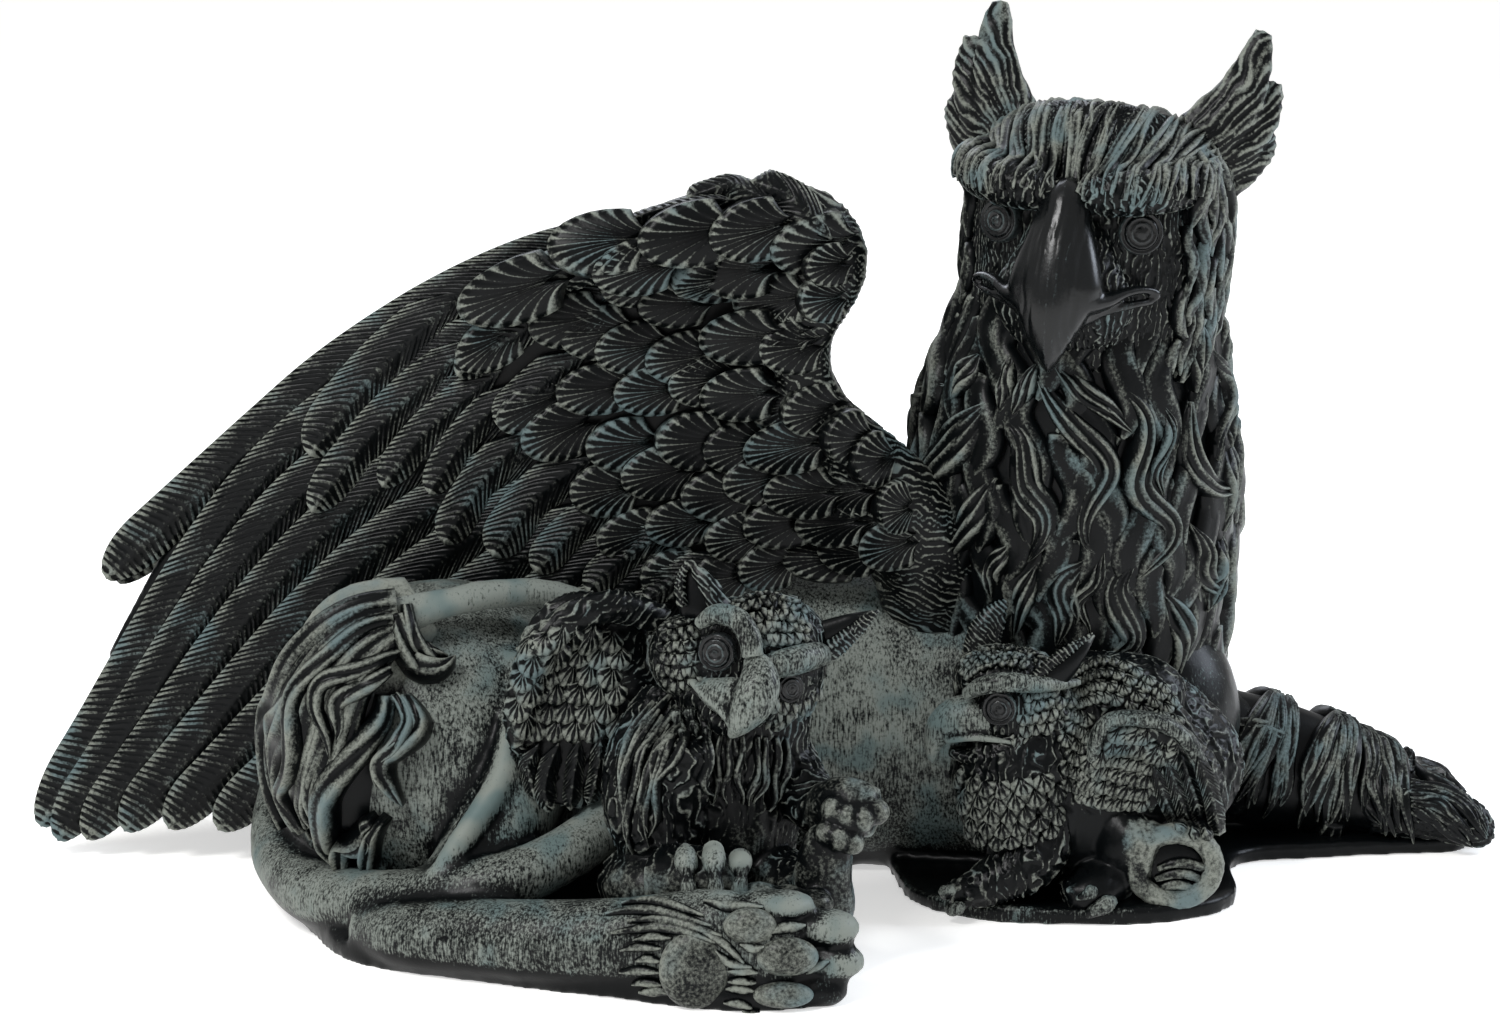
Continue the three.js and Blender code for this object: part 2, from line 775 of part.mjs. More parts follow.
function bufferGeometry(manifold) {
  const { vertProperties, triVerts, numProp, numVert } = manifold.getMesh();
  const positions = new Float32Array(numVert * 3);
  for (let i = 0; i < numVert; i++)
    positions.set(vertProperties.subarray(i * numProp, i * numProp + 3), i * 3);
  return new THREE.BufferGeometry()
    .setAttribute("position", new THREE.BufferAttribute(positions, 3))
    .setIndex(new THREE.BufferAttribute(triVerts, 1));
}

const castResin = new THREE.MeshStandardMaterial({ color: 0x2b3030, roughness: 0.55, metalness: 0 });

const geometry = bufferGeometry(statue());
geometry.computeBoundingBox();
const middle = geometry.boundingBox.getCenter(new THREE.Vector3());
const griffin = new THREE.Mesh(geometry, castResin);
griffin.name = "griffin_with_cubs";
griffin.position.set(-middle.x, -middle.y, 0);

const group = new THREE.Group();
group.add(griffin);

export default group;
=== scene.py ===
"""Cast resin statue of a reclining griffin with two cubs: carved surfaces, finishes, floor, light and camera.

The forms are laid out in squares, as a carver squares up a block: y = 0 is the griffin's middle plane, x runs
from the tail to the forepaws and z stands up from the table. One square is worked out from the frame.
"""
import logging
import math
from collections.abc import Callable, Sequence
from dataclasses import dataclass, field
from enum import Enum

import bpy
import numpy as np
from mathutils import Euler, Matrix, Vector
from mathutils.bvhtree import BVHTree


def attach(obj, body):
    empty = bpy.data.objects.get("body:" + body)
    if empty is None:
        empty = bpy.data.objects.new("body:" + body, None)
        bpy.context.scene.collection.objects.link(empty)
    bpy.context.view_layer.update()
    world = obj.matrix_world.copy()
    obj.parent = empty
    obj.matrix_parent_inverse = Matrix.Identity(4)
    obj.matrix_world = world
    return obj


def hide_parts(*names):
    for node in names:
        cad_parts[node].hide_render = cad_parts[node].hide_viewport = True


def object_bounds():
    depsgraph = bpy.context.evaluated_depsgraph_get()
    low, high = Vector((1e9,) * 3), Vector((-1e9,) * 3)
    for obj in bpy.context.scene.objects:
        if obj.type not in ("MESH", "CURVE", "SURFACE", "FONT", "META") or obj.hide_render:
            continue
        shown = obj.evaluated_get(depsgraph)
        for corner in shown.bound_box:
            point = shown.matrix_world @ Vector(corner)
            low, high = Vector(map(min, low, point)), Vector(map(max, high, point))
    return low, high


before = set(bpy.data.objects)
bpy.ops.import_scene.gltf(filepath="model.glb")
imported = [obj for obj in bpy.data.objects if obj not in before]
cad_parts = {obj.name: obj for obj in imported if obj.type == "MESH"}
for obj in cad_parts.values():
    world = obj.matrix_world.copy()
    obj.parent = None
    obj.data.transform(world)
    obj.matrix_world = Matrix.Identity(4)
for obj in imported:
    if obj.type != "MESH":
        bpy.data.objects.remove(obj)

log = logging.getLogger("griffin")

CAD_LOW, CAD_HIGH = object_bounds()
NODE = "griffin_with_cubs"

# The statue's length over its tips, in squares, and the middle of its box on the layout.
SQUARES_ACROSS = 106.6
SQUARE = (CAD_HIGH.x - CAD_LOW.x) / SQUARES_ACROSS
BOX_MIDDLE = np.array([0.344, -9.524, 0.0])
MM = 0.001

UP = np.array([0.0, 0.0, 1.0])
NEAR = np.array([0.0, -1.0, 0.0])
FAR = np.array([0.0, 1.0, 0.0])

Points = np.ndarray
# A line of the photograph's pixels as u, v, u, v, and the same after half the width of what lies along it.
Pixels = Sequence[float]
Stroke = tuple[float, ...]
Relief = Callable[[np.ndarray, np.ndarray], np.ndarray]


@dataclass
class Form:
    """A closed mesh in squares.

    Attributes:
        points: The corners, one row each.
        faces: Four corner numbers a face, with -1 as the fourth of a triangle.
        tone: How much paint a corner takes beyond what its shape gives, from -1 to 1; in places it also holds
            painted highlight and painted shade.
    """

    points: np.ndarray
    faces: np.ndarray
    tone: np.ndarray | None = None

    def __post_init__(self) -> None:
        """Gives every corner a tone."""
        if self.tone is None:
            self.tone = np.zeros(len(self.points))

    def corners(self) -> list[np.ndarray]:
        """The places of every face's four corners, where a triangle gives its third one twice."""
        last = np.where(self.faces[:, 3] < 0, self.faces[:, 2], self.faces[:, 3])
        return [self.points[self.faces[:, k]] for k in range(3)] + [self.points[last]]

    def normals(self) -> np.ndarray:
        """The corners' outward directions."""
        a, b, c, d = self.corners()
        across = np.cross(c - a, d - b)
        total = np.zeros_like(self.points)
        for k in range(4):
            used = self.faces[:, k] >= 0
            for axis in range(3):
                total[:, axis] += np.bincount(self.faces[used, k], across[used, axis], len(self.points))
        return unit(total)

    def edges(self) -> np.ndarray:
        """Every pair of neighbouring corners."""
        last = np.where(self.faces[:, 3] < 0, self.faces[:, 0], self.faces[:, 3])
        a, b, c = self.faces[:, 0], self.faces[:, 1], self.faces[:, 2]
        pairs = np.vstack([np.c_[a, b], np.c_[b, c], np.c_[c, last], np.c_[last, a]])
        return pairs[pairs[:, 0] != pairs[:, 1]]

    def toned(self, amount: float) -> "Form":
        """The same form with an even amount of paint more or less."""
        return Form(self.points, self.faces, self.tone + amount)

    def flipped(self) -> "Form":
        """The same form with every face turned over."""
        triangle = self.faces[:, 3] < 0
        faces = self.faces[:, [0, 3, 2, 1]].copy()
        faces[triangle] = self.faces[triangle][:, [0, 2, 1, 3]]
        return Form(self.points, faces, self.tone)


def unit(vectors: np.ndarray) -> np.ndarray:
    """The same directions at length one."""
    return vectors / np.maximum(np.linalg.norm(vectors, axis=-1, keepdims=True), 1e-9)


def join(forms: Sequence[Form]) -> Form:
    """All forms as one."""
    starts = np.cumsum([0] + [len(form.points) for form in forms])
    faces = [np.where(form.faces < 0, -1, form.faces + start) for form, start in zip(forms, starts)]
    return Form(np.vstack([form.points for form in forms]), np.vstack(faces),
        np.concatenate([form.tone for form in forms]))


def mirrored(form: Form, middle: float, shift: Sequence[float] = (0, 0, 0)) -> Form:
    """The form on the other side of the plane y = middle, moved by a shift."""
    points = form.points * [1, -1, 1] + [0, 2 * middle, 0] + np.array(shift, float)
    return Form(points, form.faces, form.tone).flipped()


def dots(pixels: Pixels) -> np.ndarray:
    """A line's pixels, one row each."""
    return np.reshape(np.asarray(pixels, float), (-1, 2))


def curve_through(points: Points, shares: np.ndarray) -> Points:
    """A smooth curve through points.

    Args:
        points: The places that the curve passes, one row each, or a line of pixels.
        shares: Where to read it, from 0 at the first place to 1 at the last.

    Returns:
        One row for each share.
    """
    points = np.asarray(points, float)
    points = points if points.ndim > 1 else dots(points)
    count = len(points) - 1
    padded = np.vstack([2 * points[0] - points[1], points, 2 * points[-1] - points[-2]])
    spot = np.clip(shares, 0, 1) * count
    index = np.minimum(spot.astype(int), count - 1)
    f = (spot - index)[:, None]
    a, b, c, d = (padded[index + k] for k in range(4))
    return 0.5 * (2 * b + (c - a) * f + (2 * a - 5 * b + 4 * c - d) * f**2 + (3 * b - a - 3 * c + d) * f**3)


def spread(points: Points, count: int) -> Points:
    """A number of places along a smooth curve through points."""
    return curve_through(points, np.linspace(0, 1, count))


def distances(line: Points) -> np.ndarray:
    """How far along a line each of its places lies."""
    return np.r_[0, np.cumsum(np.linalg.norm(np.diff(line, axis=0), axis=1))]


def read_at(spots: np.ndarray, steps: np.ndarray, rows: np.ndarray) -> np.ndarray:
    """Rows that stand at steps along a line, read at other spots of it."""
    return np.stack([np.interp(spots, steps, rows[:, axis]) for axis in range(3)], axis=-1)


def between(low: Points, high: Points, share: float) -> Points:
    """The places that lie a share of the way from low to high."""
    return np.asarray(low, float) + (np.asarray(high, float) - np.asarray(low, float)) * share


def smoothly(value: np.ndarray, low: float, high: float) -> np.ndarray:
    """Runs softly from 0 at low to 1 at high."""
    share = np.clip((value - low) / (high - low), 0, 1)
    return share * share * (3 - 2 * share)


def noise(points: Points, size: float, seed: int = 0) -> np.ndarray:
    """Soft random values from about -1 to 1, the same for the same place.

    Args:
        points: Places, one row each.
        size: How far apart the hills stand.
        seed: Another number gives another pattern.
    """
    spot = points / size + 37.7 * seed
    cell = np.floor(spot).astype(np.int64)
    share = spot - cell
    share = share * share * (3 - 2 * share)
    total = np.zeros(len(points))
    for corner in np.ndindex(2, 2, 2):
        x, y, z = (cell + corner).T
        mixed = (x * 73856093) ^ (y * 19349663) ^ (z * 83492791) ^ (seed * 2654435761)
        value = ((mixed * 1103515245 + 12345) & 0x7FFFFFFF) % 65536 / 32768 - 1
        total += value * np.prod(np.where(corner, share, 1 - share), axis=1)
    return total


def strands(points: Points, across: np.ndarray, width: float, sway: float, size: float,
        seed: int = 0) -> np.ndarray:
    """Wavy strands side by side, like engraved hair.

    Args:
        points: Places, one row each.
        across: How far each place lies across the hair, in squares.
        width: From one strand to the next.
        sway: How many strands' widths the hair wanders.
        size: Over what distance it wanders once.
        seed: Another number gives another pattern.

    Returns:
        From about -1 in the cuts to 1 on the ridges.
    """
    wander = noise(points * [1, 1, 0.75], size, seed) + 0.45 * noise(points, 0.45 * size, seed + 1)
    wave = 0.5 + 0.5 * np.cos(2 * math.pi * (across / width + sway * wander))
    return 2 * wave**1.5 - 1


def around(points: Points, x: float, y: float, radius: float) -> np.ndarray:
    """How far places lie round an upright axis, in squares at a radius."""
    return radius * np.arctan2(points[:, 0] - x, y - points[:, 1])


def combed(form: Form, hair: np.ndarray, depth: float, share: np.ndarray | float = 1.0) -> Form:
    """The form with hair engraved in its skin.

    Args:
        form: The form; its faces are finer than a strand.
        hair: How proud each corner stands, from -1 to 1.
        depth: How deep the cuts go.
        share: How much of the depth each corner takes.
    """
    hair = hair * share
    return Form(form.points + form.normals() * (0.5 * depth * hair)[:, None], form.faces,
        form.tone + 0.55 * hair)


def caps(loop: np.ndarray, turned_over: bool = False) -> np.ndarray:
    """Faces that close a loop of corners, as strips between its two sides.

    Args:
        loop: The corners' numbers, in order.
        turned_over: Whether the faces look the other way.

    Returns:
        Four corner numbers a face, with -1 as the fourth of a triangle.
    """
    rows = []
    for k in range((len(loop) - 1) // 2):
        a, b, c, d = loop[k], loop[k + 1], loop[-2 - k], loop[-1 - k]
        face = [a, b, d] if b == c else [a, b, c, d]
        rows.append(((face[::-1] if turned_over else face) + [-1])[:4])
    return np.array(rows)


def quads(grid: np.ndarray) -> np.ndarray:
    """The faces of a grid of corners."""
    return np.stack([grid[:-1, :-1], grid[:-1, 1:], grid[1:, 1:], grid[1:, :-1]], axis=-1).reshape(-1, 4)


def rim_of(grid: np.ndarray) -> np.ndarray:
    """The corners of a grid's outline, all the way round."""
    return np.concatenate([grid[0, :-1], grid[:-1, -1], grid[-1, :0:-1], grid[:0:-1, 0]])


def tube(rings: np.ndarray, tone: np.ndarray | None = None) -> Form:
    """A closed skin over rings of corners.

    Args:
        rings: Rings of as many corners each, from one end to the other.
        tone: How much paint each corner takes beyond what its shape gives.
    """
    count, sides, _ = rings.shape
    number = np.arange(count * sides).reshape(count, sides)
    here, beside = number[:-1], np.roll(number, -1, axis=1)[:-1]
    above, corner = number[1:], np.roll(number, -1, axis=1)[1:]
    wall = np.stack([here, beside, corner, above], axis=-1).reshape(-1, 4)
    faces = np.vstack([wall, caps(number[0], turned_over=True), caps(number[-1])])
    points = rings.reshape(-1, 3)
    return outward(Form(points, faces, None if tone is None else tone.reshape(-1)))


def outward(form: Form) -> Form:
    """The form with its faces pointing out, whichever way round it was made."""
    a, b, c, d = form.corners()
    volume = np.einsum("ij,ij->i", a, np.cross(b, c)).sum() + np.einsum("ij,ij->i", a, np.cross(c, d)).sum()
    return form if volume >= 0 else form.flipped()


def loft(stations: Sequence[Sequence[float]], sides: int = 24, steps: int = 40, facing: np.ndarray = UP,
        relief: Relief | None = None) -> Form:
    """A body lofted along a smooth spine.

    Args:
        stations: Rows of [x, y, z, across, deep]: a place of the spine and the two half-sizes there, the deep
            one towards facing. Deep may be left out where it equals across.
        sides: Corners round a ring.
        steps: Rings, less one.
        facing: The direction that the deep half-size looks in.
        relief: How far a corner stands proud, from its share along the spine and its angle.

    Returns:
        The closed form.
    """
    share = np.linspace(0, 1, steps + 1)
    line = curve_through([[*row, row[3]][:5] for row in stations], share)
    spine, girth = line[:, :3], np.maximum(line[:, 3:], 0.03)
    along = unit(np.gradient(spine, axis=0))
    side = unit(np.cross(facing, along))
    top = np.cross(along, side)
    angle = 2 * math.pi * np.arange(sides) / sides
    extra = relief(share[:, None], angle[None, :]) if relief else np.zeros((steps + 1, sides))
    across = (girth[:, :1] + extra) * np.cos(angle)
    deep = (girth[:, 1:] + extra) * np.sin(angle)
    return tube(spine[:, None] + side[:, None] * across[..., None] + top[:, None] * deep[..., None])


def ball(centre: Sequence[float], radii: Sequence[float], sides: int = 28, steps: int = 18) -> Form:
    """An ellipsoid.

    Args:
        centre: Its middle.
        radii: Its three half-sizes.
        sides: Corners round a ring.
        steps: Rings from pole to pole.
    """
    height = np.linspace(-math.pi / 2 + 0.05, math.pi / 2 - 0.05, steps)
    angle = 2 * math.pi * np.arange(sides) / sides
    x = np.cos(height)[:, None] * np.cos(angle)
    y = np.cos(height)[:, None] * np.sin(angle)
    z = np.repeat(np.sin(height)[:, None], sides, axis=1)
    return tube(np.stack([x, y, z], axis=-1) * radii + np.array(centre, float))


def placed(name: str, data: bpy.types.ID) -> bpy.types.Object:
    """A new object in the scene."""
    item = bpy.data.objects.new(name, data)
    bpy.context.scene.collection.objects.link(item)
    return item


def strip(item: bpy.types.Object) -> None:
    """Removes a helper object and its mesh."""
    mesh = item.data
    bpy.data.objects.remove(item)
    bpy.data.meshes.remove(mesh)


def mesh_of(form: Form, name: str, scale: float = 1, offset: np.ndarray | None = None) -> bpy.types.Mesh:
    """A Blender mesh of a form.

    Args:
        form: The form, in squares.
        name: The mesh's name.
        scale: Metres for a square, or 1 for helpers that stay in squares.
        offset: What is taken from every corner first.
    """
    mesh = bpy.data.meshes.new(name)
    points = (form.points - (0 if offset is None else offset)) * scale
    used = form.faces >= 0
    sizes = used.sum(axis=1)
    mesh.vertices.add(len(points))
    mesh.vertices.foreach_set("co", points.astype(np.float32).ravel())
    mesh.loops.add(int(sizes.sum()))
    mesh.loops.foreach_set("vertex_index", form.faces[used].astype(np.int32))
    mesh.polygons.add(len(sizes))
    mesh.polygons.foreach_set("loop_start", (np.cumsum(sizes) - sizes).astype(np.int32))
    mesh.update(calc_edges=True)
    return mesh


def form_of(mesh: bpy.types.Mesh) -> Form:
    """The form of a Blender mesh whose faces have three or four corners."""
    points = np.zeros(len(mesh.vertices) * 3, np.float32)
    mesh.vertices.foreach_get("co", points)
    start, size = (np.zeros(len(mesh.polygons), np.int32) for _ in range(2))
    mesh.polygons.foreach_get("loop_start", start)
    mesh.polygons.foreach_get("loop_total", size)
    corner = np.zeros(len(mesh.loops), np.int32)
    mesh.loops.foreach_get("vertex_index", corner)
    faces = np.full((len(start), 4), -1)
    for k in range(4):
        has = size > k
        faces[has, k] = corner[start[has] + k]
    return Form(points.reshape(-1, 3).astype(float), faces)


def evaluated(item: bpy.types.Object) -> Form:
    """The form of an object after its modifiers."""
    depsgraph = bpy.context.evaluated_depsgraph_get()
    mesh = bpy.data.meshes.new_from_object(item.evaluated_get(depsgraph))
    form = form_of(mesh)
    bpy.data.meshes.remove(mesh)
    return form


def fuse(forms: Sequence[Form], grain: float, smoothing: int = 3) -> Form:
    """One even skin round forms that overlap, as clay pressed together.

    Args:
        forms: The overlapping forms.
        grain: The size of the skin's faces, in squares.
        smoothing: How many times the skin is rubbed smooth.
    """
    item = placed("clay", mesh_of(join(forms), "clay"))
    remesh = item.modifiers.new("skin", "REMESH")
    remesh.mode = "VOXEL"
    remesh.voxel_size = grain
    smooth = item.modifiers.new("rub", "SMOOTH")
    smooth.factor = 0.5
    smooth.iterations = smoothing
    form = evaluated(item)
    strip(item)
    return form


@dataclass(frozen=True)
class PhotoView:
    """The photograph's camera: where it stands, in squares, and how it looks."""

    place: tuple[float, float, float] = (0.0, -268.0, 74.0)
    pitch_down: float = math.radians(10.4)
    focal: float = 3866.0
    width: int = 1500
    height: int = 1023
    sensor: float = 36.0

    def rays(self, pixels: Pixels) -> np.ndarray:
        """The directions in which the pixels lie, at length one."""
        u, v = dots(pixels).T
        forward = np.array([0, math.cos(self.pitch_down), -math.sin(self.pitch_down)])
        above = np.array([0, math.sin(self.pitch_down), math.cos(self.pitch_down)])
        right = np.array([1.0, 0, 0])
        x = (u - self.width / 2)[:, None] / self.focal
        y = (self.height / 2 - v)[:, None] / self.focal
        return unit(forward + x * right + y * above)

    def squares(self, pixels: float) -> float:
        """How many squares a number of pixels is, at the statue."""
        return pixels * -self.place[1] / self.focal

    def lens(self) -> float:
        """The focal length for the sensor, in millimetres."""
        return self.focal / self.width * self.sensor


VIEW = PhotoView()
# How far out the rays start that come in from all round, in squares.
RAY_START = 60.0


class Ground:
    """A form that carving is laid on."""

    def __init__(self, form: Form) -> None:
        """Takes the form that carries the carving."""
        faces = [row[:3] if row[3] < 0 else row for row in form.faces.tolist()]
        self.tree = BVHTree.FromPolygons(form.points.tolist(), faces)

    def cast(self, starts: Points, rays: Points) -> tuple[Points, Points]:
        """The first places that rays meet.

        Args:
            starts: Where the rays start, one row each.
            rays: Their directions.

        Returns:
            The places and the outward directions there. A ray that misses gives the form's nearest place.
        """
        hits = [self.tree.ray_cast(Vector(s), Vector(r)) for s, r in zip(starts, rays)]
        found = [k for k, hit in enumerate(hits) if hit[0] is not None]
        places, normals = [], []
        for k, (start, ray) in enumerate(zip(starts, rays)):
            place, normal = hits[k][0], hits[k][1]
            if place is None:
                near = min(found, key=lambda n: abs(n - k), default=None)
                reach = -VIEW.place[1] if near is None else (hits[near][0] - Vector(starts[near])).length
                place, normal = self.tree.find_nearest(Vector(start + ray * reach))[:2]
            places.append(np.array(place))
            normals.append(np.array(normal))
        normals = np.array(normals)
        normals[np.einsum("ij,ij->i", normals, rays) > 0.2] *= -1
        return np.array(places), normals

    def seen(self, pixels: Pixels) -> tuple[Points, Points]:
        """The places that the photograph's pixels show, and the outward directions there."""
        rays = VIEW.rays(pixels)
        return self.cast(np.repeat([VIEW.place], len(rays), axis=0), rays)

    def about(self, centre: Points, ways: Points) -> tuple[Points, Points]:
        """The places that lie outward from a centre in the given directions."""
        ways = unit(np.asarray(ways, float))
        return self.cast(np.asarray(centre, float) + RAY_START * ways, -ways)

    def under(self, spots: Points) -> tuple[Points, Points]:
        """The places that lie behind [x, z] spots, seen square on from the near side."""
        starts = np.array([[x, -80.0, z] for x, z in spots])
        return self.cast(starts, np.repeat([FAR], len(starts), axis=0))


def relaxed(values: np.ndarray, times: int) -> np.ndarray:
    """A row of values rubbed smooth along its length, with its ends kept.

    Args:
        values: One row for each place.
        times: How many times they are rubbed.
    """
    values = values.copy()
    for _ in range(times):
        values[1:-1] = (values[:-2] + 2 * values[1:-1] + values[2:]) / 4
    return values


@dataclass(frozen=True)
class Lock:
    """How a lock of hair, fur or mane is shaped. Sizes are in squares.

    Attributes:
        half: Half its width at its widest.
        rise: How far its crest stands above the ground that it lies on.
        grooves: Strands side by side in it.
        root: Its width at the root, as a share.
        tip: Its width at the tip, as a share.
        belly: Where along it the lock is widest.
        sway: How far its crest wanders to its sides.
        lift: How far its tip stands off the ground.
        sink: How far it is bedded in the ground.
        cut: How deep its grooves go, as a share of its height.
        square: How flat its top is and how steep its sides: 2 is round.
        sides: Corners round it.
        steps: Rings along it.
    """

    half: float = 0.8
    rise: float = 0.8
    grooves: int = 3
    root: float = 0.55
    tip: float = 0.12
    belly: float = 0.5
    sway: float = 0.35
    lift: float = 0.2
    sink: float = 0.5
    cut: float = 0.22
    square: float = 2.6
    sides: int = 18
    steps: int = 26

    def laid(self, line: Points, normals: Points, seed: int = 0) -> Form:
        """The lock along a line.

        Args:
            line: Places along it from root to tip.
            normals: The outward directions there.
            seed: Another number gives the crest another wander.
        """
        share = np.linspace(0, 1, self.steps + 1)
        line = relaxed(line, 2)
        steps = distances(line)
        reach = share * steps[-1]
        spine = relaxed(read_at(reach, steps, line), 3)
        facing = unit(relaxed(read_at(reach, steps, normals), 6))
        along = unit(np.gradient(spine, axis=0))
        side = unit(np.cross(facing, along))
        out = np.cross(along, side)
        rng = np.random.default_rng(seed)
        phase, waves = rng.uniform(0, 2 * math.pi), rng.uniform(0.7, 1.4)
        opening = np.sin(0.5 * math.pi * share / self.belly)
        closing = np.cos(0.5 * math.pi * (share - self.belly) / (1 - self.belly)) ** 0.8
        swell = np.where(share < self.belly, self.root + (1 - self.root) * opening,
            self.tip + (1 - self.tip) * closing)
        crest = self.sway * np.sin(2 * math.pi * waves * share + phase)
        angle = 2 * math.pi * (np.arange(self.sides) + 0.5) / self.sides
        q = np.cos(angle)[None, :] * np.ones((len(share), 1))
        above = np.sin(angle)[None, :] > 0
        leaning = q - 0.6 * crest[:, None] * (1 - q * q)
        dome = np.maximum(1 - np.abs(leaning) ** self.square, 0) ** (1 / self.square)
        dome = dome * (1 + 0.3 * crest[:, None] * q)
        channel = 0.5 - 0.5 * np.cos(math.pi * self.grooves * (q + 1) + 2 * crest[:, None])
        carved = dome * (1 - self.cut + self.cut * channel)
        height = np.where(above, self.rise * carved, -self.sink * np.abs(np.sin(angle))[None, :])
        height = height * (0.35 + 0.65 * swell[:, None])
        height = height + (self.lift * share**2 + 0.12 * self.rise * (1 - share))[:, None]
        width = self.half * swell[:, None] * q
        rings = spine[:, None] + side[:, None] * width[..., None] + out[:, None] * height[..., None]
        tone = np.where(above, 0.7 * dome - 0.6 + 0.3 * channel, -0.8)
        tone = tone - 0.25 * (1 - smoothly(share, 0, 0.25))[:, None]
        return tube(rings, tone)


def traced(ground: Ground, pixels: Pixels, lock: Lock, seed: int = 0) -> Form:
    """A lock laid on the ground along a line of the photograph's pixels.

    Args:
        ground: What it lies on.
        pixels: The line, from the lock's root to its tip.
        lock: Its shape.
        seed: Another number gives the crest another wander.
    """
    line = spread(pixels, 28)
    places, normals = ground.seen(line)
    return lock.laid(places, normals, seed)


def fan(first: Pixels, last: Pixels, count: int, seed: int = 0, jitter: float = 0.0,
        wave: float = 0.0) -> list[Points]:
    """Lines of pixels that open like a fan between two others with as many points.

    Args:
        first: The line on one side.
        last: The line on the other side.
        count: How many lines lie between them.
        seed: Another number gives other lines.
        jitter: How unequal they are in length.
        wave: How far they wave to their sides, in pixels.
    """
    rng = np.random.default_rng(seed)
    lines = []
    along = np.linspace(0, 1, 14)
    for k in range(count):
        share = (k + 0.5) / count + rng.uniform(-0.5, 0.5) / count * 0.5
        line = curve_through(between(first, last, share), along)
        reach = 1 + rng.uniform(-1, 1) * jitter
        line = line[0] + (line - line[0]) * reach
        step = unit(np.gradient(line, axis=0))
        swing = wave * along * np.sin(2 * math.pi * rng.uniform(1, 1.6) * along + rng.uniform(0, 6.3))
        lines.append(line + np.stack([-step[:, 1], step[:, 0]], axis=1) * swing[:, None])
    return lines


def pillow(top: np.ndarray, bottom: np.ndarray, top_tone: np.ndarray, bottom_tone: np.ndarray) -> Form:
    """A closed form between two grids of corners that share their outline's order.

    Args:
        top: The upper grid.
        bottom: The lower grid, with as many corners.
        top_tone: How much paint each upper corner takes beyond what its shape gives.
        bottom_tone: The same for the lower corners.
    """
    rows, columns, _ = top.shape
    number = np.arange(rows * columns).reshape(rows, columns)
    under = number + rows * columns
    upper, lower = rim_of(number), rim_of(under)
    wall = np.stack([upper, lower, np.roll(lower, -1), np.roll(upper, -1)], axis=-1)
    faces = np.vstack([quads(number), quads(under)[:, ::-1], wall])
    points = np.vstack([top.reshape(-1, 3), bottom.reshape(-1, 3)])
    return outward(Form(points, faces, np.concatenate([top_tone.ravel(), bottom_tone.ravel()])))


@dataclass(frozen=True)
class LongFeather:
    """A flight feather or long covert with carved barbs on both faces. Sizes are in squares."""

    leading: float
    trailing: float
    barb: float = 0.6
    carve: float = 0.1
    slant: float = 2.0
    cup: float = 0.25
    roll: float = 0.12
    thick: float = 0.6
    round_end: float = 0.1
    rows: int = 3

    def laid(self, rachis: Points, facing: np.ndarray, seed: int = 0) -> Form:
        """The feather along its rachis.

        Args:
            rachis: A few places from root to tip.
            facing: The direction that its outer face looks in.
            seed: Another number cuts the barbs otherwise.
        """
        rng = np.random.default_rng(seed)
        fine = spread(rachis, 200)
        steps = distances(fine)
        length = steps[-1]
        barbs = max(int(length / self.barb), 4)
        starts = (np.arange(barbs) + rng.uniform(-0.16, 0.16, barbs)) / barbs
        wave = np.array([-1, 0.7, 0.8])
        strength = rng.uniform(0.65, 1.15, barbs)
        share = (starts[:, None] + np.arange(self.rows) / self.rows / barbs).ravel()
        ridge = (strength[:, None] * wave).ravel()
        share, ridge = np.r_[share, 0.997], np.r_[ridge, -0.5][:, None]
        q = np.array([-1, -0.62, -0.28, -0.09, 0.09, 0.3, 0.55, 0.8, 1])
        vane = np.where(q < 0, self.trailing, self.leading)
        lead = self.slant * np.abs(q) ** 1.15 * vane / length
        spot = np.minimum(share[:, None] + lead * (1 - share[:, None] ** 2), 0.9995)
        end = np.clip((spot - 1 + self.round_end) / self.round_end, 0, 1)
        width = (0.8 + 0.2 * np.minimum(spot * 3, 1)) * np.sqrt(1 - end**2) * q * vane
        along_spot = spot * length
        middle = read_at(along_spot, steps, fine)
        along = unit(read_at(along_spot, steps, unit(np.gradient(fine, axis=0))))
        side = unit(np.cross(along, facing))
        out = np.cross(side, along)
        on_quill = np.abs(q) < 0.2
        cut = self.carve * np.where(on_quill, 0.1, 1)
        where = np.c_[spot.ravel() * 40, np.tile(q, len(share)), np.zeros(spot.size)]
        wobble = (0.5 * self.carve * noise(where, 1.0, seed)).reshape(spot.shape)
        arch = self.cup * (1 - q**2)
        height = arch + np.where(on_quill, 0.16, 0) + self.roll * width + cut * ridge + wobble
        depth = arch * 0.6 + self.roll * width - self.thick * np.sqrt(1 - 0.6 * q**2)
        depth = depth - 0.7 * cut * ridge
        flat = middle + side * width[..., None]
        top = flat + out * height[..., None]
        bottom = flat + out * depth[..., None]
        tone = 0.6 * ridge * np.where(on_quill, 0.3, 1) + np.where(on_quill, 0.1, -0.05)
        # The leading edge takes more paint; the trailing vane, which dips under the next feather, is painted
        # darker as its shade.
        tone = tone + 0.3 * smoothly(q, 0.7, 1.0) - 0.3 * smoothly(-q, 0.4, 1.0) + 0.4 * (end > 0.75)
        return pillow(top, bottom, tone, 0.3 * ridge + 0 * q)


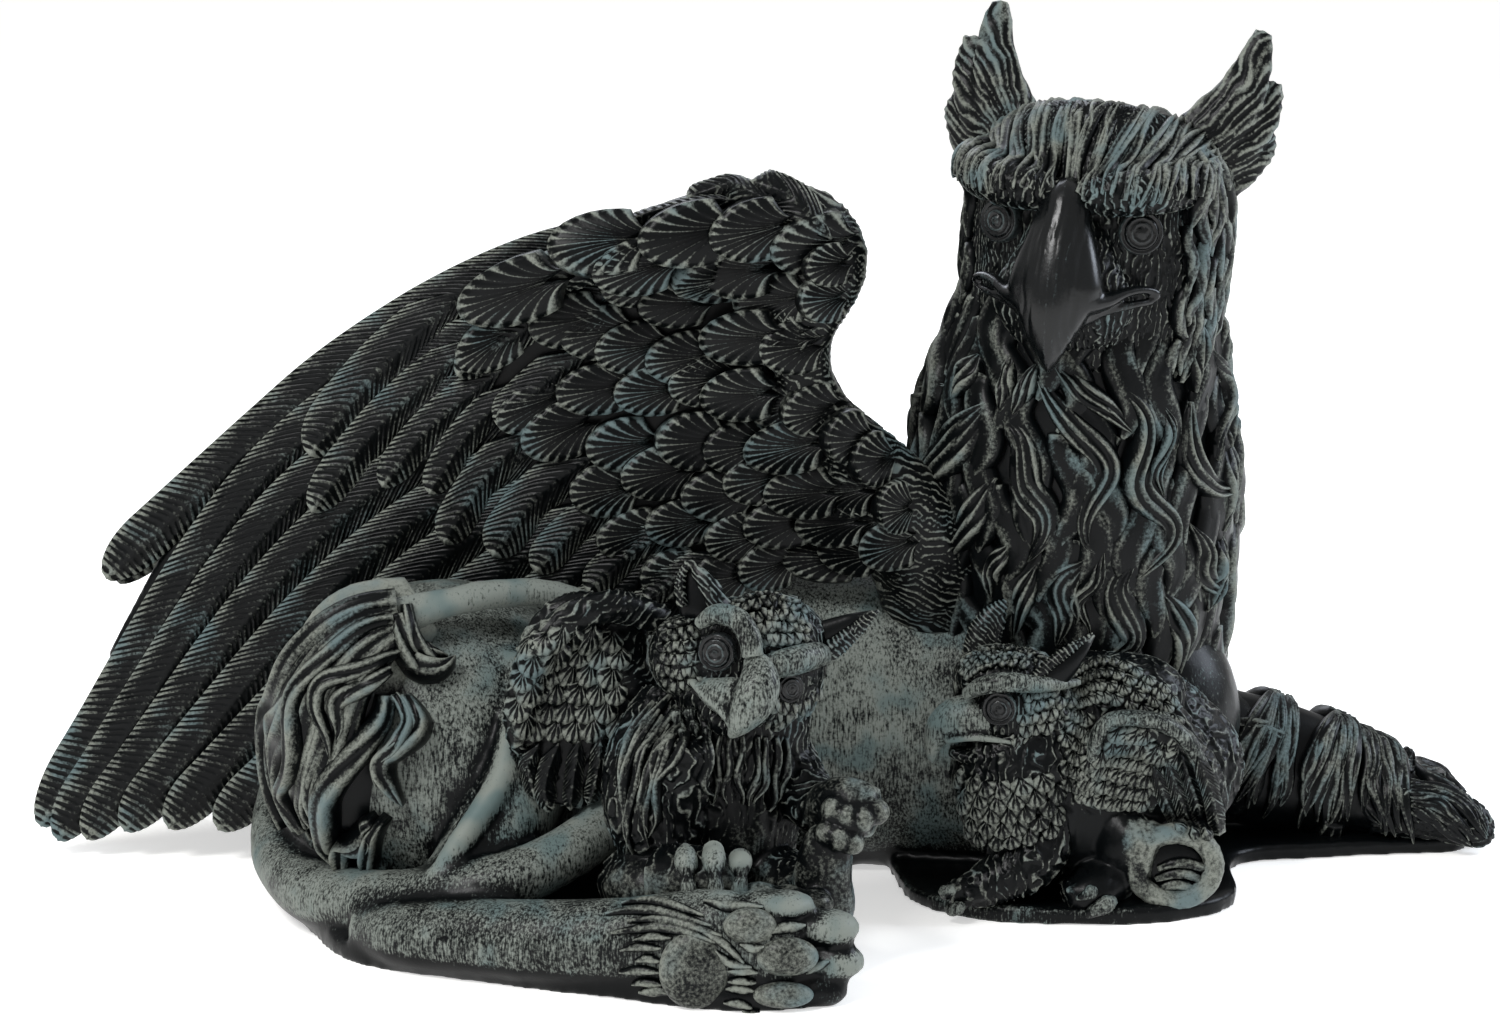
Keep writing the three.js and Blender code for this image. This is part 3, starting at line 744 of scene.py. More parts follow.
def scale_card(barbs: int = 13, rows: int = 9, seed: int = 0, carve: float = 0.036) -> Form:
    """One small round-ended feather, rooted at the origin and pointing along +X, of length and width 1.

    Args:
        barbs: How many ribs it has.
        rows: Corners along a rib.
        seed: Another number gives the ribs other heights.
        carve: How proud the ribs stand.
    """
    rng = np.random.default_rng(seed)
    columns = 2 * barbs + 1
    q = np.linspace(-1, 1, columns)
    angle = np.radians(112) * q
    edge = np.stack([0.42 + 0.58 * np.cos(angle), 0.5 * np.sin(angle)], axis=-1)
    root = np.stack([0.02 + 0.2 * (1 - np.abs(q)), 0.1 * q], axis=-1)
    bend = edge * [0.62, 0.22]
    share = np.linspace(0, 1, rows)[:, None]
    ridge = np.where(np.arange(columns) % 2, 1.0, -1.0) * rng.uniform(0.65, 1.15, columns)
    part = share[..., None]
    flat = root * (1 - part) ** 2 + 2 * bend * part * (1 - part) + edge * part**2
    dome = 0.09 + 0.11 * np.sin(math.pi * (0.15 + 0.75 * share)) * (1 - 0.45 * q**2) + 0.02 * share
    height = dome + carve * ridge * np.minimum(5 * share, 1) * (1 - 0.7 * share**8)
    height = height + 0.03 * (np.abs(q) < 0.1) * (1 - share)
    top = np.dstack([flat, height])
    tone = 0.6 * ridge + 0.34 * share**3 - 0.2
    number = np.arange(rows * columns).reshape(rows, columns)
    rim = np.roll(rim_of(number), -(columns // 2))
    lower = np.arange(len(rim)) + rows * columns
    wall = np.stack([rim, np.roll(rim, -1), np.roll(lower, -1), lower], axis=-1)
    points = top.reshape(-1, 3)
    below = points[rim] * [1, 1, 0] + [0, 0, -0.16]
    faces = np.vstack([quads(number), wall[:, ::-1], caps(lower, turned_over=True)])
    toned = np.concatenate([np.broadcast_to(tone, (rows, columns)).ravel(), np.full(len(rim), -0.7)])
    return outward(Form(np.vstack([points, below]), faces, toned))


@dataclass
class Spots:
    """Where small feathers stand: their roots, the way they point, the way they face, and their sizes."""

    places: list[np.ndarray] = field(default_factory=list)
    turns: list[tuple[float, float, float]] = field(default_factory=list)
    sizes: list[tuple[float, float, float]] = field(default_factory=list)

    def add(self, root: Points, tip: Points, facing: Points, width: float, thick: float = 1.0,
            tilt: float = 0.0) -> None:
        """Adds a feather.

        Args:
            root: Where it starts.
            tip: Where it ends.
            facing: The outward direction of what it lies on.
            width: Its full width, in squares.
            thick: How boldly it stands, as a share of its width.
            tilt: How far its tip is raised, as a share of its length.
        """
        along = np.asarray(tip, float) - root
        length = float(np.linalg.norm(along))
        along = unit(along + np.asarray(facing) * tilt * length)
        side = unit(np.cross(facing, along))
        out = np.cross(along, side)
        turn = Matrix(np.stack([along, side, out], axis=1).tolist()).to_euler("XYZ")
        self.places.append(np.asarray(root, float))
        self.turns.append(tuple(turn))
        self.sizes.append((length, width, width * thick))


class Scatter:
    """Stands copies of one small feather on a cloud of spots with Geometry Nodes."""

    def __init__(self) -> None:
        """Builds the node tree: spots in, one plain mesh of feathers out."""
        tree = bpy.data.node_groups.new("small_feathers", "GeometryNodeTree")
        face = tree.interface
        for name, kind in (("Spots", "NodeSocketGeometry"), ("Feather", "NodeSocketObject"),
                ("Feather Size", "NodeSocketFloat"), ("Finish", "NodeSocketMaterial")):
            face.new_socket(name, in_out="INPUT", socket_type=kind)
        face.new_socket("Feathers", in_out="OUTPUT", socket_type="NodeSocketGeometry")
        taken = add(tree, "NodeGroupInput")
        feather = add(tree, "GeometryNodeObjectInfo", links={"Object": taken.outputs["Feather"]})
        turn = add(tree, "GeometryNodeInputNamedAttribute", {"data_type": "FLOAT_VECTOR"}, {"Name": "turn"})
        size = add(tree, "GeometryNodeInputNamedAttribute", {"data_type": "FLOAT_VECTOR"}, {"Name": "size"})
        grown = add(tree, "ShaderNodeVectorMath", {"operation": "SCALE"},
            {0: size.outputs["Attribute"], "Scale": taken.outputs["Feather Size"]})
        angle = add(tree, "FunctionNodeEulerToRotation", links={0: turn.outputs["Attribute"]})
        stood = add(tree, "GeometryNodeInstanceOnPoints", links={"Points": taken.outputs["Spots"],
            "Instance": feather.outputs["Geometry"], "Rotation": angle.outputs[0],
            "Scale": grown.outputs[0]})
        real = add(tree, "GeometryNodeRealizeInstances", links={"Geometry": stood.outputs["Instances"]})
        painted = add(tree, "GeometryNodeSetMaterial", links={"Geometry": real.outputs["Geometry"],
            "Material": taken.outputs["Finish"]})
        add(tree, "NodeGroupOutput", links={0: painted.outputs["Geometry"]})
        self.tree = tree
        self.sockets = {item.name: item.identifier for item in face.items_tree if item.in_out == "INPUT"}

    def feathers(self, spots: Spots, card: Form) -> Form:
        """The feathers on their spots.

        Args:
            spots: Where they stand.
            card: The feather that is repeated.
        """
        count = len(spots.places)
        mesh = bpy.data.meshes.new("spots")
        mesh.vertices.add(count)
        mesh.vertices.foreach_set("co", np.array(spots.places, np.float32).ravel())
        for name, rows in (("turn", spots.turns), ("size", spots.sizes)):
            layer = mesh.attributes.new(name, "FLOAT_VECTOR", "POINT")
            layer.data.foreach_set("vector", np.array(rows, np.float32).ravel())
        item, feather = placed("spots", mesh), placed("feather", mesh_of(card, "feather"))
        modifier = item.modifiers.new("feathers", "NODES")
        modifier.node_group = self.tree
        modifier[self.sockets["Feather"]] = feather
        modifier[self.sockets["Feather Size"]] = 1.0
        form = evaluated(item)
        form.tone = np.tile(card.tone, count)
        for one in (item, feather):
            strip(one)
        return form


@dataclass(frozen=True)
class Patch:
    """Staggered rows of small feathers or scales that fill the space between two lines of pixels.

    Attributes:
        top: The line on which the first row's ends lie.
        bottom: The line of the last row's ends.
        rows: How many rows.
        columns: How many feathers in a row.
        length: A feather's length in pixels.
        width: Its width in pixels.
        fall: Where it points, in degrees down from level right at the top line and at the bottom line.
        lift: How far its end stands off the ground, in squares.
    """

    top: Pixels
    bottom: Pixels
    rows: int
    columns: int
    length: float
    width: float
    fall: tuple[float, float]
    lift: float = 0.3

    def stood(self, spots: Spots, ground: Ground, seed: int = 0) -> None:
        """Adds the patch's feathers to spots, row by row.

        Args:
            spots: What they are added to.
            ground: What they lie on.
            seed: Another number gives them other small differences.
        """
        rng = np.random.default_rng(seed)
        for row in range(self.rows):
            share = (row + 0.5) / self.rows
            line = between(self.top, self.bottom, share)
            columns = (np.arange(self.columns) + 0.25 + 0.5 * (row % 2)) / self.columns
            for u, v in curve_through(line, columns):
                fall = math.radians(between([self.fall[0]], [self.fall[1]], share)[0] + rng.uniform(-9, 9))
                long = self.length * rng.uniform(0.9, 1.15)
                root = (u - long * math.cos(fall), v - long * math.sin(fall))
                places, normals = ground.seen([root, (u, v)])
                facing = unit(normals[0] + normals[1])
                wide = VIEW.squares(self.width) * rng.uniform(0.95, 1.2)
                spots.add(places[0] - 0.15 * facing, places[1] + self.lift * facing, facing, wide, thick=1.0)


def patched(shop: "Workshop", ground: Ground, patches: Sequence[Patch], seed: int, barbs: int = 5) -> Form:
    """All feathers of some patches as one form.

    Args:
        shop: The workshop with the feather scatter.
        ground: What they lie on.
        patches: The patches.
        seed: Another number gives them other small differences.
        barbs: How many ribs a feather has.
    """
    spots = Spots()
    for k, patch in enumerate(patches):
        patch.stood(spots, ground, seed + k)
    return shop.scatter.feathers(spots, scale_card(seed=seed, barbs=barbs, rows=5, carve=0.05))


def add(tree: bpy.types.NodeTree, kind: str, settings: dict[str, object] | None = None,
        links: dict[str | int, object] | None = None) -> bpy.types.Node:
    """Adds a node.

    Args:
        tree: The tree that it joins.
        kind: The node's type.
        settings: Its properties by name.
        links: Its inputs by name or number: a socket to link from, or a plain value.

    Returns:
        The node.
    """
    node = tree.nodes.new(kind)
    for name, value in (settings or {}).items():
        setattr(node, name, value)
    for name, value in (links or {}).items():
        if isinstance(value, bpy.types.NodeSocket):
            tree.links.new(value, node.inputs[name])
        else:
            node.inputs[name].default_value = value
    return node


def linear(colour: str) -> tuple[float, float, float, float]:
    """An sRGB hex colour as linear light."""
    parts = [int(colour[k : k + 2], 16) / 255 for k in (1, 3, 5)]
    return (*(c / 12.92 if c <= 0.04045 else ((c + 0.055) / 1.055) ** 2.4 for c in parts), 1.0)


class Skin(Enum):
    """How the resin's surface was worked before it was painted."""

    FEATHER = "feather"
    HIDE = "hide"
    HORN = "horn"


@dataclass(frozen=True)
class ResinFinish:
    """Cast polyester resin, stained near black and dry-brushed.

    A stiff brush leaves pale paint on what stands proud and none in the cuts.

    Attributes:
        skin: How the surface was worked.
        stain: The dark stain's colour.
        brushed: The paint's colour where the brush touched.
        cool: The bluish glaze that lies over parts of it.
        threshold: How proud a place stands before it takes paint.
        softness: How softly the paint fades in.
        speckle: How much the paint breaks up into specks.
        satin: The roughness of the bare stain.
        chalk: The roughness of the paint.
        gloss: How strongly the surface mirrors, where 0.5 is plain plastic.
    """

    skin: Skin
    stain: str = "#050708"
    brushed: str = "#7a7e76"
    cool: str = "#5c6b6c"
    threshold: float = 0.87
    softness: float = 0.36
    speckle: float = 0.3
    satin: float = 0.32
    chalk: float = 0.5
    gloss: float = 0.12
    # Specks of paint are about half a millimetre wide, and patches of glaze about nine.
    speck_mm: float = 0.55
    patch_mm: float = 9.0
    scratch_mm: float = 0.34

    def material(self) -> bpy.types.Material:
        """The finish as a material that reads each piece's wear attribute: dry-brush wear, and on the hide
        painted shade in broad hollows.
        """
        made = bpy.data.materials.new(f"dry_brushed_resin_{self.skin.value}")
        made.use_nodes = True
        tree = made.node_tree
        tree.nodes.clear()
        place = add(tree, "ShaderNodeTexCoord").outputs["Object"]
        # The attribute holds dry-brush wear and, on the hide, painted shade in broad hollows.
        wear_and_shade = add(tree, "ShaderNodeAttribute", {"attribute_name": "wear_and_shade"}).outputs["Fac"]
        specks = add(tree, "ShaderNodeTexNoise", links={"Vector": place, "Scale": 1 / (self.speck_mm * MM),
            "Detail": 3.0, "Roughness": 0.65}).outputs["Fac"]
        patches = add(tree, "ShaderNodeTexNoise", links={"Vector": place, "Scale": 1 / (self.patch_mm * MM),
            "Detail": 2.0}).outputs["Fac"]
        grain = specks
        if self.skin is Skin.HIDE:
            grain = self.scratches(tree, place, specks)
        centred = add(tree, "ShaderNodeMath", {"operation": "SUBTRACT"}, {0: grain, 1: 0.5}).outputs[0]
        broken = add(tree, "ShaderNodeMath", {"operation": "MULTIPLY_ADD"},
            {0: centred, 1: 2 * self.speckle, 2: wear_and_shade}).outputs[0]
        drifted = add(tree, "ShaderNodeMath", {"operation": "SUBTRACT"}, {0: patches, 1: 0.5}).outputs[0]
        proud = add(tree, "ShaderNodeMath", {"operation": "MULTIPLY_ADD"},
            {0: drifted, 1: 0.5, 2: broken}).outputs[0]
        paint = add(tree, "ShaderNodeMapRange", {"interpolation_type": "SMOOTHSTEP"},
            {"Value": proud, "From Min": self.threshold - self.softness / 2,
            "From Max": self.threshold + self.softness / 2}).outputs[0]
        glaze = add(tree, "ShaderNodeMapRange", {"interpolation_type": "SMOOTHSTEP"},
            {"Value": patches, "From Min": 0.48, "From Max": 0.68}).outputs[0]
        hue = add(tree, "ShaderNodeMix", {"data_type": "RGBA"},
            {0: glaze, 6: linear(self.brushed), 7: linear(self.cool)}).outputs[2]
        colour = add(tree, "ShaderNodeMix", {"data_type": "RGBA"},
            {0: paint, 6: linear(self.stain), 7: hue}).outputs[2]
        rough = add(tree, "ShaderNodeMapRange", links={"Value": paint, "To Min": self.satin,
            "To Max": self.chalk}).outputs[0]
        bump = add(tree, "ShaderNodeBump", links={"Height": grain, "Strength": 0.25, "Distance": 0.12 * MM})
        resin = add(tree, "ShaderNodeBsdfPrincipled", links={"Base Color": colour, "Roughness": rough,
            "IOR": 1.52, "Specular IOR Level": self.gloss, "Normal": bump.outputs[0]})
        add(tree, "ShaderNodeOutputMaterial", links={"Surface": resin.outputs[0]})
        return made

    def scratches(self, tree: bpy.types.NodeTree, place: bpy.types.NodeSocket,
            specks: bpy.types.NodeSocket) -> bpy.types.NodeSocket:
        """Short strokes of a wire brush, laid in two directions over the specks."""
        strokes = []
        for turn in (1.1, -0.9):
            laid = add(tree, "ShaderNodeMapping", links={"Vector": place,
                "Rotation": (0.5 * turn, turn, 0.3), "Scale": (1 / (self.scratch_mm * MM),
                1 / (self.scratch_mm * MM), 0.16 / (self.scratch_mm * MM))}).outputs[0]
            strokes.append(add(tree, "ShaderNodeTexNoise", links={"Vector": laid, "Scale": 1.0,
                "Detail": 2.0}).outputs["Fac"])
        crossed = add(tree, "ShaderNodeMath", {"operation": "MAXIMUM"},
            {0: strokes[0], 1: strokes[1]}).outputs[0]
        return add(tree, "ShaderNodeMix", {"data_type": "FLOAT"},
            {0: 0.4, 2: crossed, 3: specks}).outputs[0]


def wear_and_shade_of(form: Form, shade_reach: int) -> np.ndarray:
    """How much paint each corner takes, from 0 in a cut to 1 on a ridge, with painted shade in broad hollows.

    Args:
        form: The finished form, in squares.
        shade_reach: How many faces away the broad swellings and hollows are looked for.
    """
    edges = form.edges()
    count = len(form.points)
    degree = np.maximum(np.bincount(edges[:, 0], minlength=count) + np.bincount(edges[:, 1],
        minlength=count), 1)

    def shared(values: np.ndarray) -> np.ndarray:
        """The mean of the neighbours' values."""
        total = np.bincount(edges[:, 0], values[edges[:, 1]], count)
        return (total + np.bincount(edges[:, 1], values[edges[:, 0]], count)) / degree

    normals = form.normals()
    mean = np.stack([shared(form.points[:, axis]) for axis in range(3)], axis=1)
    gap = np.linalg.norm(form.points[edges[:, 0]] - form.points[edges[:, 1]], axis=1)
    size = (np.bincount(edges[:, 0], gap, count) + np.bincount(edges[:, 1], gap, count)) / degree
    proud = np.einsum("ij,ij->i", form.points - mean, normals) / np.maximum(size, 1e-6)
    for _ in range(2):
        proud = 0.5 * proud + 0.5 * shared(proud)
    # Painted shade: broad hollows darker and broad swellings lighter, found by rubbing the form smooth.
    broad = np.zeros(count)
    if shade_reach:
        soft = form.points
        for _ in range(shade_reach):
            soft = np.stack([shared(soft[:, axis]) for axis in range(3)], axis=1)
        broad = np.einsum("ij,ij->i", form.points - soft, normals)
    return np.clip(0.5 + 1.6 * proud + 0.5 * form.tone + np.clip(0.9 * broad, -0.35, 0.3), 0, 1)


# About how many triangles each piece may have.
TRIANGLES = {"body_and_plinth": 120_000, "near_wing_flights": 96_000, "near_wing_coverts": 106_000,
    "far_wing": 84_000, "griffin_head": 184_000, "mane": 116_000, "tail_tuft": 30_000,
    "shaggy_foreleg": 62_000, "sitting_cub": 104_000, "crouching_cub": 82_000}


@dataclass
class Workshop:
    """What every piece needs: the feather scatter and the finishes."""

    scatter: Scatter = field(default_factory=Scatter)
    materials: dict[Skin, bpy.types.Material] = field(default_factory=dict)

    def __post_init__(self) -> None:
        """Mixes the finishes."""
        for finish in (ResinFinish(Skin.FEATHER), ResinFinish(Skin.HIDE, brushed="#757b75", cool="#5a6968",
                threshold=0.64, softness=0.4, speckle=0.9),
                ResinFinish(Skin.HORN, brushed="#4a5051", threshold=0.84, speckle=0.2, satin=0.26,
                chalk=0.4, gloss=0.3)):
            self.materials[finish.skin] = finish.material()

    def piece(self, name: str, forms: Sequence[tuple[Form, Skin]]) -> bpy.types.Object:
        """One finished piece of the statue.

        Args:
            name: The piece's name.
            forms: Its forms, each with the way its surface was worked.
        """
        whole = join([form for form, _ in forms])
        # Dry-brush wear for every corner, with painted shade in the broad hollows of the hide.
        wear_and_shade = np.concatenate([wear_and_shade_of(form, shade_reach=12 * (skin is Skin.HIDE)) for form, skin in forms])
        mesh = mesh_of(whole, name, SQUARE, BOX_MIDDLE)
        mesh.validate()
        layer = mesh.attributes.new("wear_and_shade", "FLOAT", "POINT")
        layer.data.foreach_set("value", wear_and_shade.astype(np.float32))
        skins = sorted({skin for _, skin in forms}, key=lambda skin: skin.value)
        for skin in skins:
            mesh.materials.append(self.materials[skin])
        index = np.concatenate([np.full(len(form.faces), skins.index(skin)) for form, skin in forms])
        mesh.polygons.foreach_set("material_index", index.astype(np.int32))
        mesh.shade_smooth()
        item = placed(name, mesh)
        triangles = int((whole.faces >= 0).sum() - 2 * len(whole.faces))
        fewer = item.modifiers.new("fewer_faces", "DECIMATE")
        fewer.ratio = min(TRIANGLES[name] / triangles, 1)
        depsgraph = bpy.context.evaluated_depsgraph_get()
        finished = item.evaluated_get(depsgraph)
        item.data = bpy.data.meshes.new_from_object(finished, preserve_all_data_layers=True,
            depsgraph=depsgraph)
        item.modifiers.clear()
        bpy.data.meshes.remove(mesh)
        item.data.name = name
        points = np.zeros(len(item.data.vertices) * 3, np.float32)
        item.data.vertices.foreach_get("co", points)
        points = np.clip(points.reshape(-1, 3), np.array(CAD_LOW), np.array(CAD_HIGH))
        item.data.vertices.foreach_set("co", points.astype(np.float32).ravel())
        item.data.update()
        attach(item, "root")
        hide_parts(NODE)
        log.info("%s: %d faces, thinned from %d triangles", name, len(item.data.polygons), triangles)
        return item


# A row of small feathers: their length and width in pixels, and the pixels at their rounded ends.
ScaleRow = tuple[float, float, Pixels]


@dataclass
class Wing:
    """A raised wing: its arm, ten flight feathers, long coverts and rows of small round-ended feathers."""

    name: str
    flights: int = 10
    barb: float = 0.58
    bed_grain: float = 0.38
    middle: float = 3.5
    tips: float = 4.6
    shoulder: float = 10.4
    bulge: float = 1.6
    tip_x: float = -50
    shoulder_x: float = 10
    # The [x, z] lines that the flight feathers start on, pass and end on, from the top one down.
    roots: Points = field(default_factory=lambda: np.array([[-4, 46.2], [0, 41], [3, 34], [9, 25]], float))
    middles: Points = field(default_factory=lambda: np.array(
        [[-31.4, 35.6], [-29.4, 28.5], [-23.5, 23], [-15, 19.5], [-6, 18]], float))
    ends: Points = field(default_factory=lambda: np.array([[-51.6, 4.6], [-49.4, 1.2], [-43, 2.4],
        [-33, 3.2], [-14, 9]], float))
    first_flight: Points = field(default_factory=lambda: np.array(
        [[-4, 45.4], [-15, 43.2], [-27, 36.4], [-36.6, 28.2], [-45.2, 20.4]], float))
    # The long coverts: half their width in pixels, and pixels from the rounded end to the root.
    coverts: tuple[Stroke, ...] = ((25, 312, 452, 376, 372, 474, 282), (20, 314, 508, 386, 418, 484, 332),
        (17, 384, 483, 432, 424, 504, 366), (18, 458, 372, 520, 330, 592, 292),
        (20, 500, 424, 536, 388, 590, 345), (16, 431, 490, 470, 430, 524, 378),
        (19, 446, 540, 482, 480, 534, 424), (22, 494, 552, 536, 496, 596, 452),
        (18, 536, 568, 576, 526, 632, 490), (17, 588, 588, 628, 552, 684, 522),
        (15, 646, 596, 682, 572, 730, 552))
    scale_rows: tuple[ScaleRow, ...] = ((64, 42, (640, 578, 690, 578, 737, 573, 783, 566, 822, 562, 866,
        548)), (72, 44, (597, 541, 645, 526, 704, 540, 742, 527, 798, 524, 832, 526, 876, 505)),
        (76, 46, (570, 492, 621, 478, 680, 495, 722, 484, 767, 492, 805, 490, 850, 462)),
        (78, 48, (523, 444, 586, 447, 655, 441, 702, 451, 748, 451, 780, 452, 824, 436)),
        (76, 44, (499, 422, 557, 393, 614, 393, 668, 386, 704, 396, 752, 406, 790, 410)),
        (78, 44, (560, 336, 595, 351, 645, 361, 704, 338, 771, 350, 742, 340)),
        (80, 42, (460, 362, 601, 287, 638, 306, 680, 284, 738, 300, 770, 290)),
        (86, 50, (709, 235, 771, 243)), (46, 38, (806, 268, 800, 300)),
        (84, 46, (530, 326, 592, 268, 664, 264, 700, 270)), (104, 54, (466, 306, 553, 256, 641, 243)))
    # The pixels along the wing's front edge, downwards.
    front_edge: Pixels = (830, 185, 858, 205, 868, 240, 855, 310, 832, 350, 838, 385, 868, 430, 910, 480,
        930, 600)
    # The narrow feathers along the top edge, seen edge on.
    edge: tuple[Stroke, ...] = ((6, 399, 306, 470, 268, 556, 234), (6, 520, 243, 562, 224, 620, 213),
        (8, 607, 208, 662, 199, 738, 203), (14, 684, 191, 730, 187, 778, 207),
        (20, 753, 184, 790, 199, 832, 242))

    def skin(self, x: np.ndarray) -> np.ndarray:
        """How far the wing's outer face lies from the plane between the wings."""
        share = np.clip((x - self.tip_x) / (self.shoulder_x - self.tip_x), 0, 1)
        return self.tips + (self.shoulder - self.tips) * share + self.bulge * np.sin(math.pi * share)

    def stood(self, spots: Points, out: float | np.ndarray) -> Points:
        """The [x, z] spots as places, out from the wing's outer face."""
        spots = np.asarray(spots, float)
        return np.stack([spots[:, 0], self.middle - self.skin(spots[:, 0]) - out, spots[:, 1]], axis=1)

    def arm(self) -> Form:
        """The wing's arm from the shoulder over the wrist."""
        return loft([[14, -2.5, 16, 4, 3], [12.4, -6, 22, 4, 2.8], [9.4, -7.6, 27.6, 3.2, 2.4],
            [4.6, -8.6, 33.5, 2, 2], [3.4, -8.8, 38.4, 2.2, 2], [4.7, -8.8, 43.8, 3.3, 2.2],
            [1.6, -8.8, 46.6, 2.5, 1.9], [-6, -8.6, 45.2, 1.9, 1.4], [-17, -8, 41.4, 1.4, 0.9]],
            facing=NEAR)

    def lining(self) -> Form:
        """The fold that joins the arm to the web behind it, so that no slit is left between them."""
        return loft([[3.6, -6.6, 38.6, 1.4, 1.5], [4, -6.6, 43.2, 1.5, 1.6], [1, -6.5, 45.2, 1.4, 1.6],
            [-6, -6.5, 44.4, 1.2, 1.7], [-12, -6.5, 42.8, 1, 1.7], [-17, -6.3, 40.9, 0.8, 1.6]],
            facing=NEAR)

    def web(self) -> Form:
        """The thin sheet that the feathers stand on."""
        columns = np.linspace(0.02, 0.98, 30)
        under_arm = self.roots + [3.2, 0.6]
        lines = [curve_through(line, columns) for line in (under_arm, self.middles, self.ends)]
        rows = [curve_through(np.array([line[k] for line in lines]),
            np.linspace(0, 0.84, 40)) for k in range(30)]
        grid = np.stack(rows, axis=1)
        flat = grid.reshape(-1, 2)
        top = self.stood(flat, -0.5).reshape(40, 30, 3)
        bottom = self.stood(flat, -1.9).reshape(40, 30, 3)
        blank = np.zeros(top.shape[:2])
        return pillow(top, bottom, blank, blank)

    def flight_feathers(self) -> list[Form]:
        """The flight feathers. The first ends high on the outline, and each next one lies over the last."""
        made = []
        for k in range(self.flights):
            share = np.array([(k + 0.55) / self.flights])
            spots = np.vstack([curve_through(line, share) for line in (self.roots, self.middles, self.ends)])
            if k == 0:
                spots = self.first_flight
            feather = LongFeather(leading=2.0, trailing=1.5, barb=self.barb)
            rachis = self.stood(curve_through(spots, np.linspace(0.1 if k < 2 else 0.28, 1, 9)), 0.0)
            made.append(feather.laid(rachis, NEAR, seed=k + 1))
        return made

    def long_coverts(self, ground: Ground) -> list[Form]:
        """The long coverts, over the roots of the flight feathers."""
        made = []
        for k, (half, *line) in enumerate(self.coverts):
            width = VIEW.squares(half)
            feather = LongFeather(leading=1.15 * width, trailing=0.95 * width, barb=self.barb, carve=0.12,
                cup=0.45, round_end=0.2, roll=0.1, thick=0.8)
            spots, _ = ground.seen(spread(dots(line)[::-1], 7))
            lift = np.linspace(0.5, 1.3, 7)
            made.append(feather.laid(spots + NEAR * lift[:, None], NEAR, seed=40 + k))
        return made

    def flow(self, u: float, v: float) -> float:
        """How far a small feather points down from level, in degrees, at a pixel."""
        return 7 + 26 * float(smoothly(np.array([560 - u + 0.35 * (v - 400)]), 0, 110)[0])

    def scales(self, shop: Workshop, ground: Ground) -> list[Form]:
        """Rows of small round-ended feathers, laid like tiles from the long coverts up to the front edge."""
        sets = [Spots() for _ in range(4)]
        rng = np.random.default_rng(7)
        for row, (length, width, ends) in enumerate(self.scale_rows):
            for k, (u, v) in enumerate(dots(ends)):
                long = length * rng.uniform(0.95, 1.1)
                fall = math.radians(self.flow(u, v) + rng.uniform(-5, 5))
                front = float(np.interp(v, *dots(self.front_edge).T[::-1])) - 3
                long = min(long, max(front - u, 30) / math.cos(fall))
                root = (u + long * math.cos(fall), v - long * math.sin(fall))
                places, normals = ground.seen([root, (u, v)])
                facing = unit(0.5 * normals[1] + 0.5 * NEAR)
                lift = 1.0 + 0.08 * row
                sets[(row + k) % 4].add(places[0] + facing * (lift - 1.1), places[1] + facing * lift,
                    facing, VIEW.squares(width) * rng.uniform(1.1, 1.25), thick=1.0, tilt=0.03)
        return [shop.scatter.feathers(spots, scale_card(seed=k, barbs=12 + k))
            for k, spots in enumerate(sets)]

    def top_edge(self, ground: Ground) -> list[Form]:
        """The narrow feathers that lie on the wing's top edge."""
        made = []
        for k, (half, *line) in enumerate(self.edge):
            width = VIEW.squares(half)
            spots, _ = ground.seen(spread(dots(line)[::-1], 7))
            feather = LongFeather(width, width, barb=self.barb, carve=0.08, cup=0.5, round_end=0.14,
                thick=1.6)
            made.append(feather.laid(spots + NEAR * 0.5, unit(NEAR + 0.5 * UP), seed=70 + k))
        return made

    def sleeve(self) -> Form:
        """The arm's own skin, combed back from the front edge."""
        arm = fuse([self.arm()], 0.2)
        edge = smoothly(arm.normals()[:, 0], 0.7, 0.95)
        x, _, z = arm.points.T
        lines = strands(arm.points, z + 0.4 * x, 0.42, 1.2, 1.6, 21)
        arm = combed(arm, lines, 0.16, 1 - 0.7 * edge)
        # The side that faces +x along the front edge is lighter: brushed paint on the edge and a painted
        # highlight.
        return Form(arm.points, arm.faces, arm.tone + 0.35 + 0.6 * edge)

    def bed(self) -> Form:
        """The arm and the web as one skin."""
        bed = fuse([self.arm(), self.lining(), self.web()], self.bed_grain)
        x, _, z = bed.points.T
        inner = smoothly(bed.normals()[:, 1], 0.2, 0.8)
        barbs = strands(bed.points, 0.75 * x + 0.66 * z, 3 * self.bed_grain, 0.4, 6, 22)
        return combed(bed, barbs, 0.3, inner)

    def build(self, shop: Workshop) -> list[bpy.types.Object]:
        """The finished near wing, its long feathers and its small ones."""
        bed = self.bed()
        ground = Ground(bed)
        long = [bed.toned(-0.5), *self.flight_feathers()]
        small = [*self.long_coverts(ground), *self.scales(shop, ground), self.sleeve(),
            *self.top_edge(ground)]
        return [shop.piece(f"{self.name}_flights", [(join(long), Skin.FEATHER)]),
            shop.piece(f"{self.name}_coverts", [(join(small), Skin.FEATHER)])]


